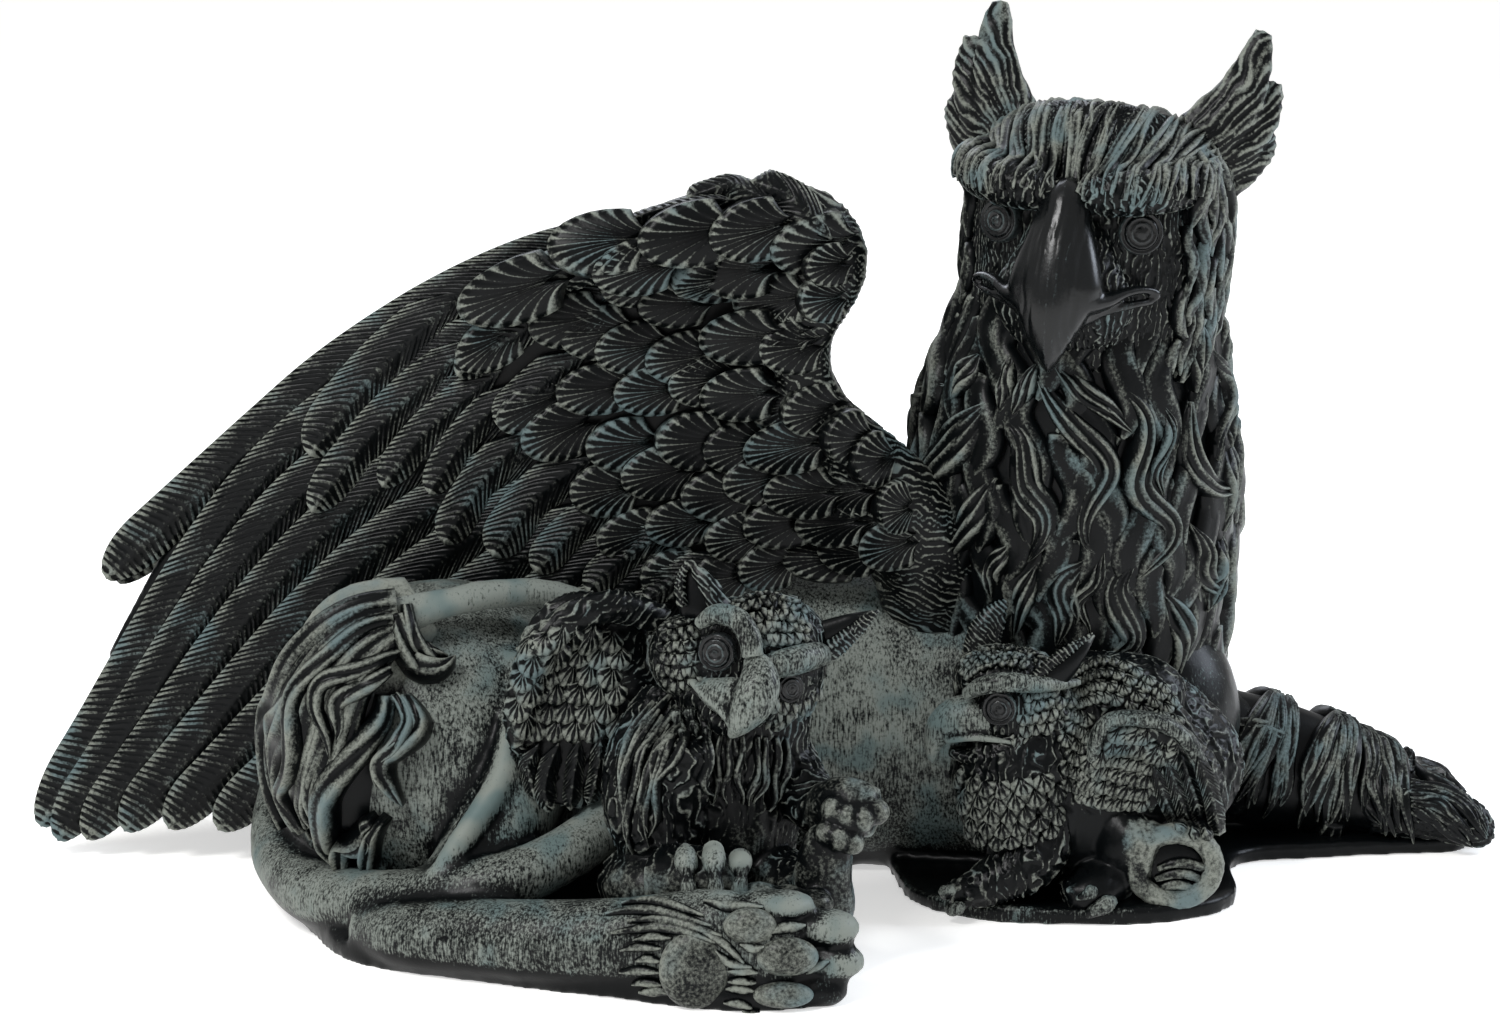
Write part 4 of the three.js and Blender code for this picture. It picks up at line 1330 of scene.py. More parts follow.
@dataclass
class FarWing(Wing):
    """The wing behind, which leans a little lower and whose carving is plainer."""

    barb: float = 1.0
    bed_grain: float = 0.48
    drop: tuple[float, float, float] = (-1.2, 0, -2.4)
    rows: int = 8
    columns: int = 9
    # The front edge that the small feathers start from, and the line of the last ones' ends.
    front: Points = field(default_factory=lambda: np.array([[6.6, 46.6], [6, 42.4], [5, 37.4], [7.4, 32],
        [12.4, 25], [17, 20]], float))
    behind: Points = field(default_factory=lambda: np.array(
        [[-24, 41.4], [-22.4, 35.6], [-19.6, 31], [-14.6, 26.6], [-9, 22.6], [-1, 18]], float))

    def tiled(self, shop: Workshop, ground: Ground) -> Form:
        """Even rows of small feathers."""
        spots = Spots()
        rng = np.random.default_rng(17)
        for row in range(self.rows):
            start = row / self.rows
            shares = np.clip((np.arange(self.columns) + 0.5 * (row % 2) + 0.25) / self.columns, 0, 1)
            fronts, backs = curve_through(self.front, shares), curve_through(self.behind, shares)
            for front, back in zip(fronts, backs):
                root = between(front, back, start - 0.06)
                way = unit(back - front)
                tip = root + way * rng.uniform(5, 5.8)
                places, normals = ground.under([root, tip])
                facing = unit(normals[0] + NEAR)
                spots.add(places[0] - 0.2 * facing, places[1] + 0.5 * facing, facing, 3.9, thick=0.8)
        return shop.scatter.feathers(spots, scale_card(seed=12, barbs=9))

    def front_scales(self, shop: Workshop, arm: Form) -> Form:
        """Feathers that wrap the wing's front edge, which the photograph shows edge on."""
        spots = Spots()
        ground = Ground(arm)
        rng = np.random.default_rng(11)
        spine = np.array([[13.4, -4.4, 18.4], [12.6, -6, 21.4], [10, -7.6, 26], [6.6, -8.4, 30.6],
            [4.2, -8.8, 34.6], [3.6, -8.8, 38.4], [4.4, -8.8, 42], [3.6, -8.8, 45]])
        for row, centre in enumerate(spread(spine, 18)):
            for turn in (58, 90, 122, 154):
                angle = math.radians(turn + 16 * (row % 2) + rng.uniform(-5, 5))
                root_way = np.array([math.sin(angle), -math.cos(angle), 0.15])
                tip_way = np.array([math.sin(angle - 0.85), -math.cos(angle - 0.85), -0.1])
                places, normals = ground.about(centre, np.array([root_way, tip_way]))
                facing = unit(normals[0] + normals[1])
                spots.add(places[0] - 0.1 * facing, places[1] + 0.15 * facing, facing, rng.uniform(2.4, 3),
                    thick=0.5)
        return shop.scatter.feathers(spots, scale_card(seed=9, barbs=10))

    def build(self, shop: Workshop) -> list[bpy.types.Object]:
        """The finished far wing."""
        bed = self.bed()
        ground = Ground(bed)
        parts = [bed.toned(-0.5), *self.flight_feathers(), *self.long_coverts(ground),
            self.tiled(shop, ground), self.front_scales(shop, self.arm())]
        form = mirrored(join(parts), self.middle, self.drop)
        return [shop.piece(self.name, [(form, Skin.FEATHER)])]


# The plinth's outline, in squares.
PLINTH = [[-34, 4], [-33, -8], [-30, -18], [-25.5, -27], [-15, -32], [-3, -36.8], [2.6, -37], [5.4, -34.6],
    [4.4, -26], [4.6, -10], [9, -2.6], [10.8, -12.6], [15, -17], [22, -18.6], [29, -17.4], [33, -13.6],
    [34.4, -4], [42, -1.6], [51, 0.4], [50, 7], [42, 9], [30, 12], [10, 12], [-2, 18], [-20, 18],
    [-30, 13]]
PLINTH_THICK = 1.2


def plinth() -> Form:
    """The thin plinth, cast in one with the figures."""
    outline = curve_through(np.array([*PLINTH, PLINTH[0]], float), np.linspace(0, 1, 320)[:-1])
    curve = bpy.data.curves.new("plinth", "CURVE")
    curve.dimensions = "2D"
    curve.fill_mode = "BOTH"
    curve.extrude = PLINTH_THICK / 2
    spline = curve.splines.new("POLY")
    spline.points.add(len(outline) - 1)
    spline.points.foreach_set("co", np.c_[outline, np.zeros(len(outline)), np.ones(len(outline))].ravel())
    spline.use_cyclic_u = True
    item = placed("plinth", curve)
    form = evaluated(item)
    bpy.data.objects.remove(item)
    bpy.data.curves.remove(curve)
    form.points[:, 2] += PLINTH_THICK / 2
    return outward(form)


@dataclass
class Body:
    """The griffin's trunk, haunches, hind leg and tail, grown together with the plinth."""

    name: str = "body_and_plinth"
    grain: float = 0.34
    # The pads of the upturned paw: the pixel at the middle, and half the width and height in pixels.
    pads: tuple[tuple[float, float, float, float], ...] = ((694, 971, 32, 36), (750, 926, 24, 17),
        (787, 957, 29, 18), (783, 995, 28, 12))
    # The paw's fur: half a lock's width, and pixels from its root to its tip.
    fur: tuple[Stroke, ...] = ((5, 622, 905, 642, 902, 668, 905, 704, 916),
        (5, 606, 915, 632, 911, 664, 913, 712, 926), (5, 628, 922, 646, 920, 672, 921, 722, 936),
        (5, 612, 933, 642, 929, 676, 929, 716, 942), (4, 634, 940, 652, 937, 672, 938),
        (4, 621, 950, 640, 947, 662, 948), (4, 636, 960, 648, 958, 661, 960),
        (4, 620, 971, 640, 969, 661, 971), (4, 633, 983, 648, 981, 664, 984),
        (5, 640, 992, 660, 990, 672, 994), (4, 700, 930, 722, 942, 738, 956, 744, 962),
        (4, 716, 950, 730, 962, 752, 966), (4, 728, 970, 744, 970, 758, 971),
        (4, 728, 980, 742, 980, 756, 981), (4, 726, 990, 740, 990, 754, 992),
        (4, 724, 1002, 738, 1003, 752, 1006), (5, 768, 934, 786, 928, 806, 926),
        (4, 806, 972, 818, 966, 830, 962), (4, 740, 944, 752, 948, 764, 946),
        (4, 742, 1008, 752, 1012, 760, 1012), (5, 704, 902, 734, 908, 764, 906))

    def trunk(self) -> list[Form]:
        """The barrel of the trunk, the chest and the neck's foot."""
        barrel = loft([[-33, 1, 9, 3, 4], [-29, 1, 9.5, 7.5, 9], [-18, 0, 10, 9.5, 11],
            [-4, 0, 10, 8.6, 11], [9, 0, 10.4, 8.8, 11.4], [20, 0, 9, 10, 11], [29, 0, 7.5, 8, 7],
            [33, 0, 6.5, 3, 3]])
        chest = ball([28, -3.4, 11], [6.4, 6.4, 7.6])
        return [barrel, chest]

    def haunches(self) -> list[Form]:
        """Both haunches, the near knee with its sharp shin, and the far hind foot."""
        knee = loft([[-16.6, -15, 15, 4.6, 5.4], [-15.4, -19, 11, 3.8, 4.2], [-17, -22.6, 6.6, 3, 3.2],
            [-20.6, -25.4, 3.4, 2.2, 2.2], [-23, -26.6, 2, 1.6, 1.6]])
        shin = loft([[-15.4, -21, 15.4, 0.7, 0.7], [-16.2, -23.4, 11.6, 0.9, 0.8],
            [-18.6, -25.8, 8, 0.8, 0.8], [-20.6, -27, 5.6, 0.5, 0.5]])
        foot = loft([[-24.4, 14, 2, 0.6, 0.8], [-22, 14.6, 2.2, 2.3, 2.2], [-12, 16, 2.2, 3, 2.6],
            [-5, 16, 2, 3.4, 2.6], [-1, 16, 1.4, 1.6, 1.2]])
        toes = [loft([[-3, 14 + 1.9 * k, 1.8, 1.2, 1.5], [0.2, 14 + 1.9 * k, 1.5, 1.1, 1.3],
            [1.6, 14 + 1.9 * k, 1, 0.4, 0.5]]) for k in range(3)]
        return [ball([-21, -12, 10.5], [11.6, 11, 11.8]), knee, shin, ball([-20, 9, 9], [11, 9, 10.5]),
            foot, *toes]

    def hind_leg(self) -> list[Form]:
        """The hind leg that lies on the ground with its sole towards the near side."""
        shank = loft([[-25.4, -25.4, 2, 1.2, 1.2], [-22, -28, 2.2, 2.2, 2.2], [-16, -30.4, 2.7, 2.5, 2.6],
            [-8, -33, 3.1, 2.6, 2.9], [-2, -34.6, 3.6, 2.5, 3.5], [2, -34.9, 3.4, 2.2, 3.2],
            [3.6, -35, 3.4, 1.4, 2.4]])
        toes = [loft([[0.5, -34, z, 1.6, 1.1 * size], [x - 1.8, -34.9, z, 1.7, 1.05 * size],
            [x - 0.4, -35.3, z, 1.6, 1.15 * size], [x + 0.6, -35.2, z, 1, 0.8 * size],
            [x + 1, -35.1, z, 0.4, 0.4]]) for x, z, size in ([3, 6.5, 0.7], [5.8, 4.9, 1], [6.2, 2.7, 1],
            [5.2, 0.9, 1])]
        return [shank, *toes]

    def paw(self, ground: Ground) -> list[Form]:
        """The pads of the upturned paw and the wavy fur about them."""
        made = []
        for u, v, wide, high in self.pads:
            places, normals = ground.seen([(u, v)])
            centre = places[0] - 0.1 * normals[0]
            pad = ball(centre, [VIEW.squares(wide), 0.9, VIEW.squares(high)])
            made.append(pad.toned(0.5))
        for k, (half, *line) in enumerate(self.fur):
            lock = Lock(half=VIEW.squares(half) * 1.15, rise=0.42, grooves=1, root=0.3, tip=0.2, sway=0.5,
                lift=0.12, sides=12, steps=18)
            made.append(traced(ground, line, lock, seed=200 + k).toned(0.15))
        return made

    def tail(self) -> list[Form]:
        """The tail, which loops round the haunch, passes behind the sitting cub and comes back."""
        loop = loft([[-29, -2, 8, 2.6], [-32, -6, 6, 2.2], [-32, -12, 3.6, 2.1], [-29.2, -19, 2.6, 2.2],
            [-24.5, -23.6, 3, 2.3], [-18.5, -26.6, 4.6, 2.1], [-13.5, -26, 6.2, 1.9], [-9, -22, 8.5, 1.8],
            [-6.5, -17, 12.5, 1.7]], steps=80)
        back = loft([[-6.5, -16.5, 13, 1.6], [-8.5, -15.6, 19, 1.4], [-12.5, -16.6, 22, 1.1],
            [-16.5, -18, 22.6, 1], [-20.3, -19.6, 22.2, 1], [-24, -20, 21.2, 1.6]],
            facing=unit(np.array([0, -1, 0.3])))
        return [loop, back]

    def foreleg(self) -> list[Form]:
        """The smooth upper arm of the stretched foreleg, and the near foreleg, which the cub hides."""
        arm = loft([[24, 4, 9, 6, 6], [30, 4, 7.6, 4.6, 5], [35, 3.6, 6, 4.2, 4.8], [38, 3.4, 5, 3, 3.6]])
        near = loft([[24, -7, 8, 5, 5], [29, -7, 3.5, 3, 3], [31.4, -6.6, 2, 1.8, 1.4]])
        return [arm, near]

    def build(self, shop: Workshop) -> bpy.types.Object:
        """The finished body."""
        solid = fuse([*self.trunk(), *self.haunches(), *self.hind_leg(), *self.tail(), *self.foreleg(),
            plinth()], self.grain, smoothing=4)
        rough = 0.12 * noise(solid.points, 5.0, 1) + 0.04 * noise(solid.points, 1.2, 2)
        solid.points += solid.normals() * rough[:, None]
        x, y, z = solid.points.T
        # A lighter patch on the middle of the flank: brushed paint and a painted highlight.
        flank_paint_and_highlight = np.exp(-((x - 8) / 6) ** 2 - ((z - 14) / 7) ** 2)
        haunch = np.exp(-((x + 20) / 9) ** 2 - ((z - 14) / 8) ** 2)
        shank = smoothly(-y, 24, 28)
        low = 1 - smoothly(z, PLINTH_THICK - 0.1, PLINTH_THICK + 0.5)
        front = smoothly(x, 24, 28) * (1 - smoothly(y, 3, 6))
        back = smoothly(z, 16, 19) * smoothly(y, -4, -1)
        solid.tone = 0.35 * flank_paint_and_highlight + 0.2 * haunch + 0.3 * back - 0.2 * shank - 0.6 * front - low
        paw = join(self.paw(Ground(solid)))
        return shop.piece(self.name, [(solid, Skin.HIDE), (paw, Skin.FEATHER)])


def turned(profile: Sequence[tuple[float, float]], centre: Points, axis: Points, sides: int = 32) -> Form:
    """A round form turned about an axis.

    Args:
        profile: Its [radius, height] rings from its back to its front.
        centre: Where height is 0.
        axis: The direction that its front looks in.
        sides: Corners round a ring.
    """
    axis = unit(np.asarray(axis, float))
    side = unit(np.cross(axis, UP))
    top = np.cross(side, axis)
    angle = 2 * math.pi * np.arange(sides) / sides
    round_way = np.cos(angle)[:, None] * side + np.sin(angle)[:, None] * top
    rings = [np.asarray(centre, float) + axis * height + round_way * radius for radius, height in profile]
    return tube(np.array(rings))


# The rings of an eye, as [radius, height] from its back to the pupil, in squares on the griffin's head.
EYE_PROFILE = [(1.0, -1.8), (1.75, -1.2), (1.84, -0.2), (1.76, 0.04), (1.64, 0.08), (1.5, -0.08), (1.38, 0),
    (1.28, 0.16), (1.16, 0.18), (1.06, 0.06), (0.96, 0.16), (0.84, 0.3), (0.7, 0.3), (0.62, 0.2),
    (0.5, 0.28), (0.3, 0.38), (0.08, 0.4)]


@dataclass(frozen=True)
class GriffinHead:
    """The griffin's eagle head with tufted ears, made about its own centre and looking along -Y.

    Attributes:
        name: The piece's name.
        centre: Where it stands.
        yaw: How far it looks aside, in degrees.
        tilt: How far it leans to its side, in degrees.
        left_ear: The tips of the ear's lobes, how far out and how high, from the inmost one.
        right_ear: The same on the other side.
        grain: The size of the clay skin's faces.
        curl: How wide a curl of the down on the cheeks is.
        strands: Locks in the sweep over each brow.
        steps: Rings along each lock.
    """

    name: str = "griffin_head"
    centre: tuple[float, float, float] = (23.6, -4, 44.8)
    yaw: float = -18
    tilt: float = 3
    left_ear: tuple[tuple[float, float], ...] = ((8, 15.4), (10, 12.8), (10.6, 9))
    right_ear: tuple[tuple[float, float], ...] = ((10.4, 14.6), (11.2, 11.2), (10.6, 8))
    grain: float = 0.15
    curl: float = 0.36
    strands: int = 23
    steps: int = 26

    def pairs(self, make: Callable[[int], Form]) -> list[Form]:
        """A form on each side of the face."""
        return [make(-1), make(1)]

    def skull(self) -> Form:
        """The head without its beak, eyes and hair, its cheeks curly with short down."""
        dome = loft([[0.3, 0.6, 8.3, 4, 4], [0.3, 0.3, 7, 7.2, 6.9], [0.3, 0, 3.4, 8.5, 8.2],
            [0.2, -0.2, -2, 8.7, 8.1], [0, 0, -8, 8, 7.4]], facing=NEAR)
        brows = self.pairs(lambda s: loft([[0.9 * s, -8.6, 3.5, 1.1, 1.1], [3 * s, -9.2, 3.9, 1.4, 1.4],
            [5.4 * s, -8.2, 4.2, 1.5, 1.5], [7.2 * s, -5.8, 4.5, 1.2, 1.4], [7.9 * s, -3, 4.8, 0.8, 1.2]]))
        muzzle = loft([[0, -6, 2.4, 2.4, 2], [0, -8, -0.4, 3.4, 2], [0, -8.4, -3.4, 4.8, 2],
            [0, -7.4, -6, 3.6, 2]], facing=NEAR)
        skull = fuse([dome, *brows, muzzle], self.grain)
        curls = strands(skull.points, around(skull.points, 0, 0, 8.6), 1.15 * self.curl, 1.1,
            2.6 * self.curl, 5)
        return combed(skull, curls, 0.55 * self.curl).toned(-0.1)

    def culmen(self, share: np.ndarray, angle: np.ndarray) -> np.ndarray:
        """The ridge along the upper bill, with a groove on each side that fades out at both ends.

        Args:
            share: How far along the bill a corner lies, from 0 to 1.
            angle: How far round it, in radians.
        """
        aside = angle - math.pi / 2
        groove = 0.16 * np.exp(-((np.abs(aside) - 0.75) / 0.22) ** 2) * np.sin(math.pi * share)
        return 0.12 * np.exp(-(aside / 0.35) ** 2) - groove

    def beak(self) -> Form:
        """The hooked beak with its parted lips."""
        upper = loft([[0, -7.8, 4.3, 0.9, 0.5], [0, -9.1, 3.5, 1.6, 1.2], [0, -9.6, 2.2, 1.9, 1.6],
            [0, -10, 0.6, 2.4, 1.9], [0, -10.4, -1, 2.9, 2.1], [0, -10.7, -2.5, 3.2, 2.2],
            [0, -11.1, -3.7, 2.6, 2], [0, -11.4, -5, 1.9, 1.6], [0, -11.5, -6.3, 1.2, 1.2],
            [0, -11.3, -7.3, 0.6, 0.7], [0, -11, -7.8, 0.25, 0.3]], facing=NEAR, sides=40, steps=60,
            relief=self.culmen)
        lips = self.pairs(lambda s: loft([[1.8 * s, -10.6, -3.2, 1.5, 1], [3.2 * s, -9.9, -3, 1, 0.6],
            [4.3 * s, -9.2, -2.5, 0.6, 0.36], [5.4 * s, -8.3, -2.3, 0.4, 0.28],
            [6.2 * s, -7.6, -2.6, 0.34, 0.28], [5.8 * s, -7.9, -3.1, 0.3, 0.24]]))
        under = loft([[-5.8, -7.9, -3.1, 0.3, 0.24], [-4.8, -8.9, -3.3, 0.36, 0.28],
            [-3, -9.6, -3.8, 0.6, 0.4], [0, -10.4, -4.8, 1.2, 0.9], [3, -9.6, -3.8, 0.6, 0.4],
            [4.8, -8.9, -3.3, 0.36, 0.28], [5.8, -7.9, -3.1, 0.3, 0.24]])
        beak = fuse([upper, *lips, under], self.grain * 0.85, smoothing=3)
        across = beak.points[:, 0]
        lines = strands(beak.points, 3 * across, 1.5, 0.5, 2.5, 9) * (np.abs(across) < 2)
        points = beak.points + beak.normals() * (0.02 * lines)[:, None]
        return Form(points, beak.faces, beak.tone + 0.12 * lines)

    def eye(self, s: int) -> Form:
        """A round, rather flat eye with engraved rings."""
        smaller = [(radius * 0.82, height) for radius, height in EYE_PROFILE]
        return turned(smaller, [4.9 * s, -7.8, 1.4], [0.4 * s, -1, 0.05])

    def ear(self, s: int, tips: Sequence[tuple[float, float]]) -> Form:
        """An ear's blunt lobes, like the fingers of a wing, combed from its root to its tips.

        Args:
            s: The side of the face, -1 or 1.
            tips: How far out and how high each lobe's tip is.
        """
        lobes = []
        for k, (out, up) in enumerate(tips):
            root = np.array([(4.6 + 1.1 * k) * s, -0.4 + 0.7 * k, 5.2 - 0.9 * k])
            middle = np.array([(0.42 * (4.8 + 1.1 * k) + 0.58 * out) * s, 0.4 + 0.7 * k, 2.4 + 0.5 * up])
            tip = np.array([out * s, 1.2 + 0.9 * k, up])
            line = spread([root, middle, tip], 7)
            line += np.array([s, 0, 0]) * (0.9 * np.sin(math.pi * np.linspace(0, 1, 7)))[:, None]
            across = np.array([1.7, 2, 2, 1.8, 1.5, 1.15, 0.6]) * (1 - 0.06 * k)
            deep = np.array([1.1, 1, 0.9, 0.8, 0.7, 0.6, 0.4])
            lobes.append(loft(np.c_[line, across, deep], facing=NEAR))
        shell = fuse(lobes, self.grain, smoothing=2)
        spot = shell.points
        ray = np.arctan2(spot[:, 0] * s - 2.4, spot[:, 2] - 1.6)
        fine = strands(spot, 8 * ray, 0.42, 1.0, 2.2, 8 + (s > 0))
        broad = strands(spot, 8 * ray, 1.3, 0.5, 3.0, 12 + (s > 0))
        return combed(shell, 0.6 * fine + 0.5 * broad, 0.16).toned(0.6)

    def hair(self, skull: Form) -> list[Form]:
        """The locks that sweep from between the brows over the eyes, over the crown and down the back."""
        ground = Ground(skull)
        made = []
        edge = np.array([[0, -9, 3.7], [2, -9.2, 3.2], [4.4, -8.6, 3.1], [6.4, -7.2, 3.3], [8.2, -4.4, 4.1],
            [8.8, -1.4, 4.9]])
        for s, lean in ((-1, 0.5), (1, 0.95)):
            rng = np.random.default_rng(31)
            for k in range(self.strands):
                share = (k + 0.3) / self.strands
                start = curve_through(edge, np.array([share]))[0] + [0, 0, rng.uniform(-0.25, 0.35)]
                far = share**1.5
                slant = lean * float(smoothly(np.array([share]), -0.1, 0.5)[0])
                ways = np.array([start, start + [0.5 * slant * (1 - 0.4 * far), 0.6, 2],
                    [(start[0] + 1.2 * slant) * (1 - 0.08 * far), start[1] + 2.8, 6.4 - 1.2 * far],
                    [(start[0] + 1.7 * slant) * (1 - 0.15 * far), start[1] + 7, 8 - 3 * far],
                    [(start[0] + 1.8 * slant) * (1 - 0.2 * far), start[1] + 12, 7.4 - 3.4 * far]])
                ways[1:, 0] += rng.uniform(-0.4, 0.4, 4)
                ways = spread(ways * [s, 1, 1], 16)
                places, normals = ground.about([0, 0, 0], ways)
                lock = Lock(half=0.4, rise=0.55, grooves=2, sink=0.5, lift=0.3, steps=self.steps + 6,
                    root=0.35, tip=0.3, cut=0.5, sway=0.7, sides=12, belly=0.25)
                made.append(lock.laid(places, normals, seed=k + 20 * (s > 0)).toned(0.25))
        return [*made, *self.nape(ground)]

    def nape(self, ground: Ground) -> list[Form]:
        """Short locks that hang on the sides and the back of the head."""
        made = []
        rng = np.random.default_rng(33)
        for row in range(11):
            count = self.strands
            reach = 122 if row > 2 else 66
            for k in range(count):
                turn = math.radians(180 + reach * (2 * (k + 0.5 * (row % 2)) / count - 1))
                high = 13.6 - 2 * row + rng.uniform(-0.4, 0.4)
                share = np.linspace(0, 1, 8)
                sweep = turn + 0.07 * np.sin(5 * share + rng.uniform(0, 6))
                ways = np.stack([9 * np.sin(sweep), -9 * np.cos(sweep), high - (3 + 0.25 * row) * share],
                    axis=1)
                places, normals = ground.about([0, 0, 0], ways)
                lock = Lock(half=rng.uniform(0.6, 0.8) * 14 / count * 1.25, rise=0.75, grooves=2, sides=12,
                    cut=0.3, steps=max(self.steps // 2, 8), lift=0.35)
                made.append(lock.laid(places, normals, seed=int(rng.integers(999))))
        return made

    def stood(self, form: Form) -> Form:
        """The form turned and moved to where the head is."""
        turn = np.array(Euler((0, math.radians(self.tilt), math.radians(self.yaw)), "XYZ").to_matrix())
        return Form(form.points @ turn.T + self.centre, form.faces, form.tone)

    def build(self, shop: Workshop) -> bpy.types.Object:
        """The finished head."""
        skull = self.skull()
        ears = [self.ear(-1, self.left_ear), self.ear(1, self.right_ear)]
        return shop.piece(self.name, [(self.stood(join([skull, *self.hair(skull), *ears])), Skin.FEATHER),
            (self.stood(self.beak()), Skin.HORN), (self.stood(join(self.pairs(self.eye))), Skin.HORN)])


@dataclass
class Mane:
    """The neck and breast under long wavy locks."""

    name: str = "mane"
    # Locks along lines of the photograph's pixels, each with half its width in pixels.
    locks: tuple[Stroke, ...] = ((8, 1222, 308, 1228, 342, 1219, 373), (8, 1177, 303, 1186, 336, 1186, 392),
        (8, 1200, 350, 1216, 392, 1208, 437, 1208, 460), (8, 958, 322, 939, 350, 925, 378, 913, 404, 905,
        423), (8, 1039, 364, 1028, 392, 1017, 414), (8, 1017, 356, 1012, 392, 1006, 412),
        (10, 986, 356, 972, 381, 961, 401), (9, 1057, 364, 1079, 387, 1107, 409, 1129, 432),
        (7, 1233, 387, 1246, 406, 1236, 448), (9, 953, 387, 927, 401, 919, 426, 897, 443, 866, 448),
        (7, 930, 488, 902, 491, 891, 507, 892, 533), (9, 1231, 440, 1228, 477, 1239, 493, 1245, 519, 1233,
        533), (10, 1233, 538, 1239, 572, 1222, 617), (12, 1155, 589, 1172, 617, 1174, 639, 1163, 687),
        (9, 1183, 521, 1194, 547, 1191, 569, 1211, 592), (9, 1014, 541, 1000, 564, 998, 594),
        (9, 1040, 561, 1028, 589, 1017, 634), (10, 939, 533, 923, 555, 925, 583, 916, 606, 894, 628, 885,
        628), (6, 911, 561, 902, 589, 891, 622), (12, 1000, 477, 984, 505, 970, 533, 953, 561),
        (7, 1101, 549, 1093, 578, 1076, 597, 1085, 620, 1087, 631),
        (13, 1085, 558, 1062, 583, 1068, 611, 1057, 642), (13, 1129, 561, 1113, 583, 1121, 611, 1129, 634,
        1113, 653, 1093, 665), (18, 992, 404, 967, 437, 941, 471, 930, 502),
        (7, 1158, 406, 1163, 426, 1158, 448, 1149, 471, 1157, 493),
        (10, 1183, 401, 1180, 437, 1186, 465, 1202, 485, 1222, 488),
        (12, 1107, 378, 1138, 401, 1146, 429, 1138, 460, 1129, 482, 1144, 502, 1166, 519, 1163, 541, 1146,
        561, 1132, 575), (11, 1040, 373, 1054, 401, 1073, 426, 1099, 451, 1107, 471, 1093, 493, 1082, 519,
        1085, 547, 1093, 549), (13, 1009, 418, 1024, 437, 1028, 460, 1031, 488, 1047, 510, 1045, 535, 1031,
        558))

    def column(self) -> Form:
        """The neck and breast without their locks."""
        neck = loft([[23.7, -3.6, 43, 7.4, 7], [23.3, -3.4, 38, 8.4, 7.8], [22.6, -2.6, 31, 10.2, 8.8],
            [22.6, -1.6, 23, 10.4, 9.2], [22.4, -0.6, 14, 9.6, 8.6], [22, 0, 8, 7.4, 7.4]], facing=NEAR)
        return fuse([neck], 0.5)

    def hanging(self, ground: Ground, rise: float, start: float, stop: float, seed: int) -> list[Form]:
        """Locks that hang round the neck, tier below tier.

        Args:
            ground: The neck.
            rise: How far a lock's crest stands above it.
            start: How many degrees from the near side the locks start.
            stop: Where they stop.
            seed: Another number gives other locks.
        """
        rng = np.random.default_rng(seed)
        made = []
        for tier, height in enumerate(np.arange(43, 13, -3.6)):
            count = 16 if height > 34 else 20
            for k in range(count):
                angle = 2 * math.pi * (k + 0.5 * (tier % 2) + rng.uniform(-0.2, 0.2)) / count
                aside = (math.degrees(angle) + 180) % 360 - 180
                if not start <= abs(aside) <= stop:
                    continue
                fall = rng.uniform(6.5, 9)
                phase, swing = rng.uniform(0, 6.3), rng.uniform(0.05, 0.12)
                share = np.linspace(0, 1, 16)
                turn = angle + swing * np.sin(phase + 2 * math.pi * 1.1 * share)
                level = height - fall * share
                centre = np.stack([np.full(16, 22.9), np.full(16, -2.2), level], axis=1)
                way = np.stack([np.sin(turn), -np.cos(turn), np.zeros(16)], axis=1)
                places, normals = ground.cast(centre + RAY_START * way, -way)
                lock = Lock(half=rng.uniform(1.2, 1.6), rise=rise, grooves=2, steps=22, lift=0.4, sides=16,
                    sink=0.9)
                made.append(lock.laid(places, normals, seed=int(rng.integers(1000))))
        return made

    def build(self, shop: Workshop) -> bpy.types.Object:
        """The finished mane."""
        column = self.column()
        ground = Ground(column)
        bed = [lock.toned(-0.1) for lock in self.hanging(ground, 0.9, 0, 75, seed=3)]
        behind = self.hanging(ground, 1.5, 75, 180, seed=4)
        shown = []
        for k, (half, *line) in enumerate(self.locks):
            width = VIEW.squares(half) * 1.45
            lock = Lock(half=width, rise=1.5, grooves=4 if half > 12 else 3, steps=36, sway=0.6, lift=0.4,
                root=0.15, tip=0.06, sink=1.2, sides=28, cut=0.34, square=2.8, belly=0.4)
            shown.append(traced(ground, line, lock, seed=k).toned(0.1))
        return shop.piece(self.name, [(join([column.toned(-0.6), *bed, *behind, *shown]), Skin.FEATHER)])


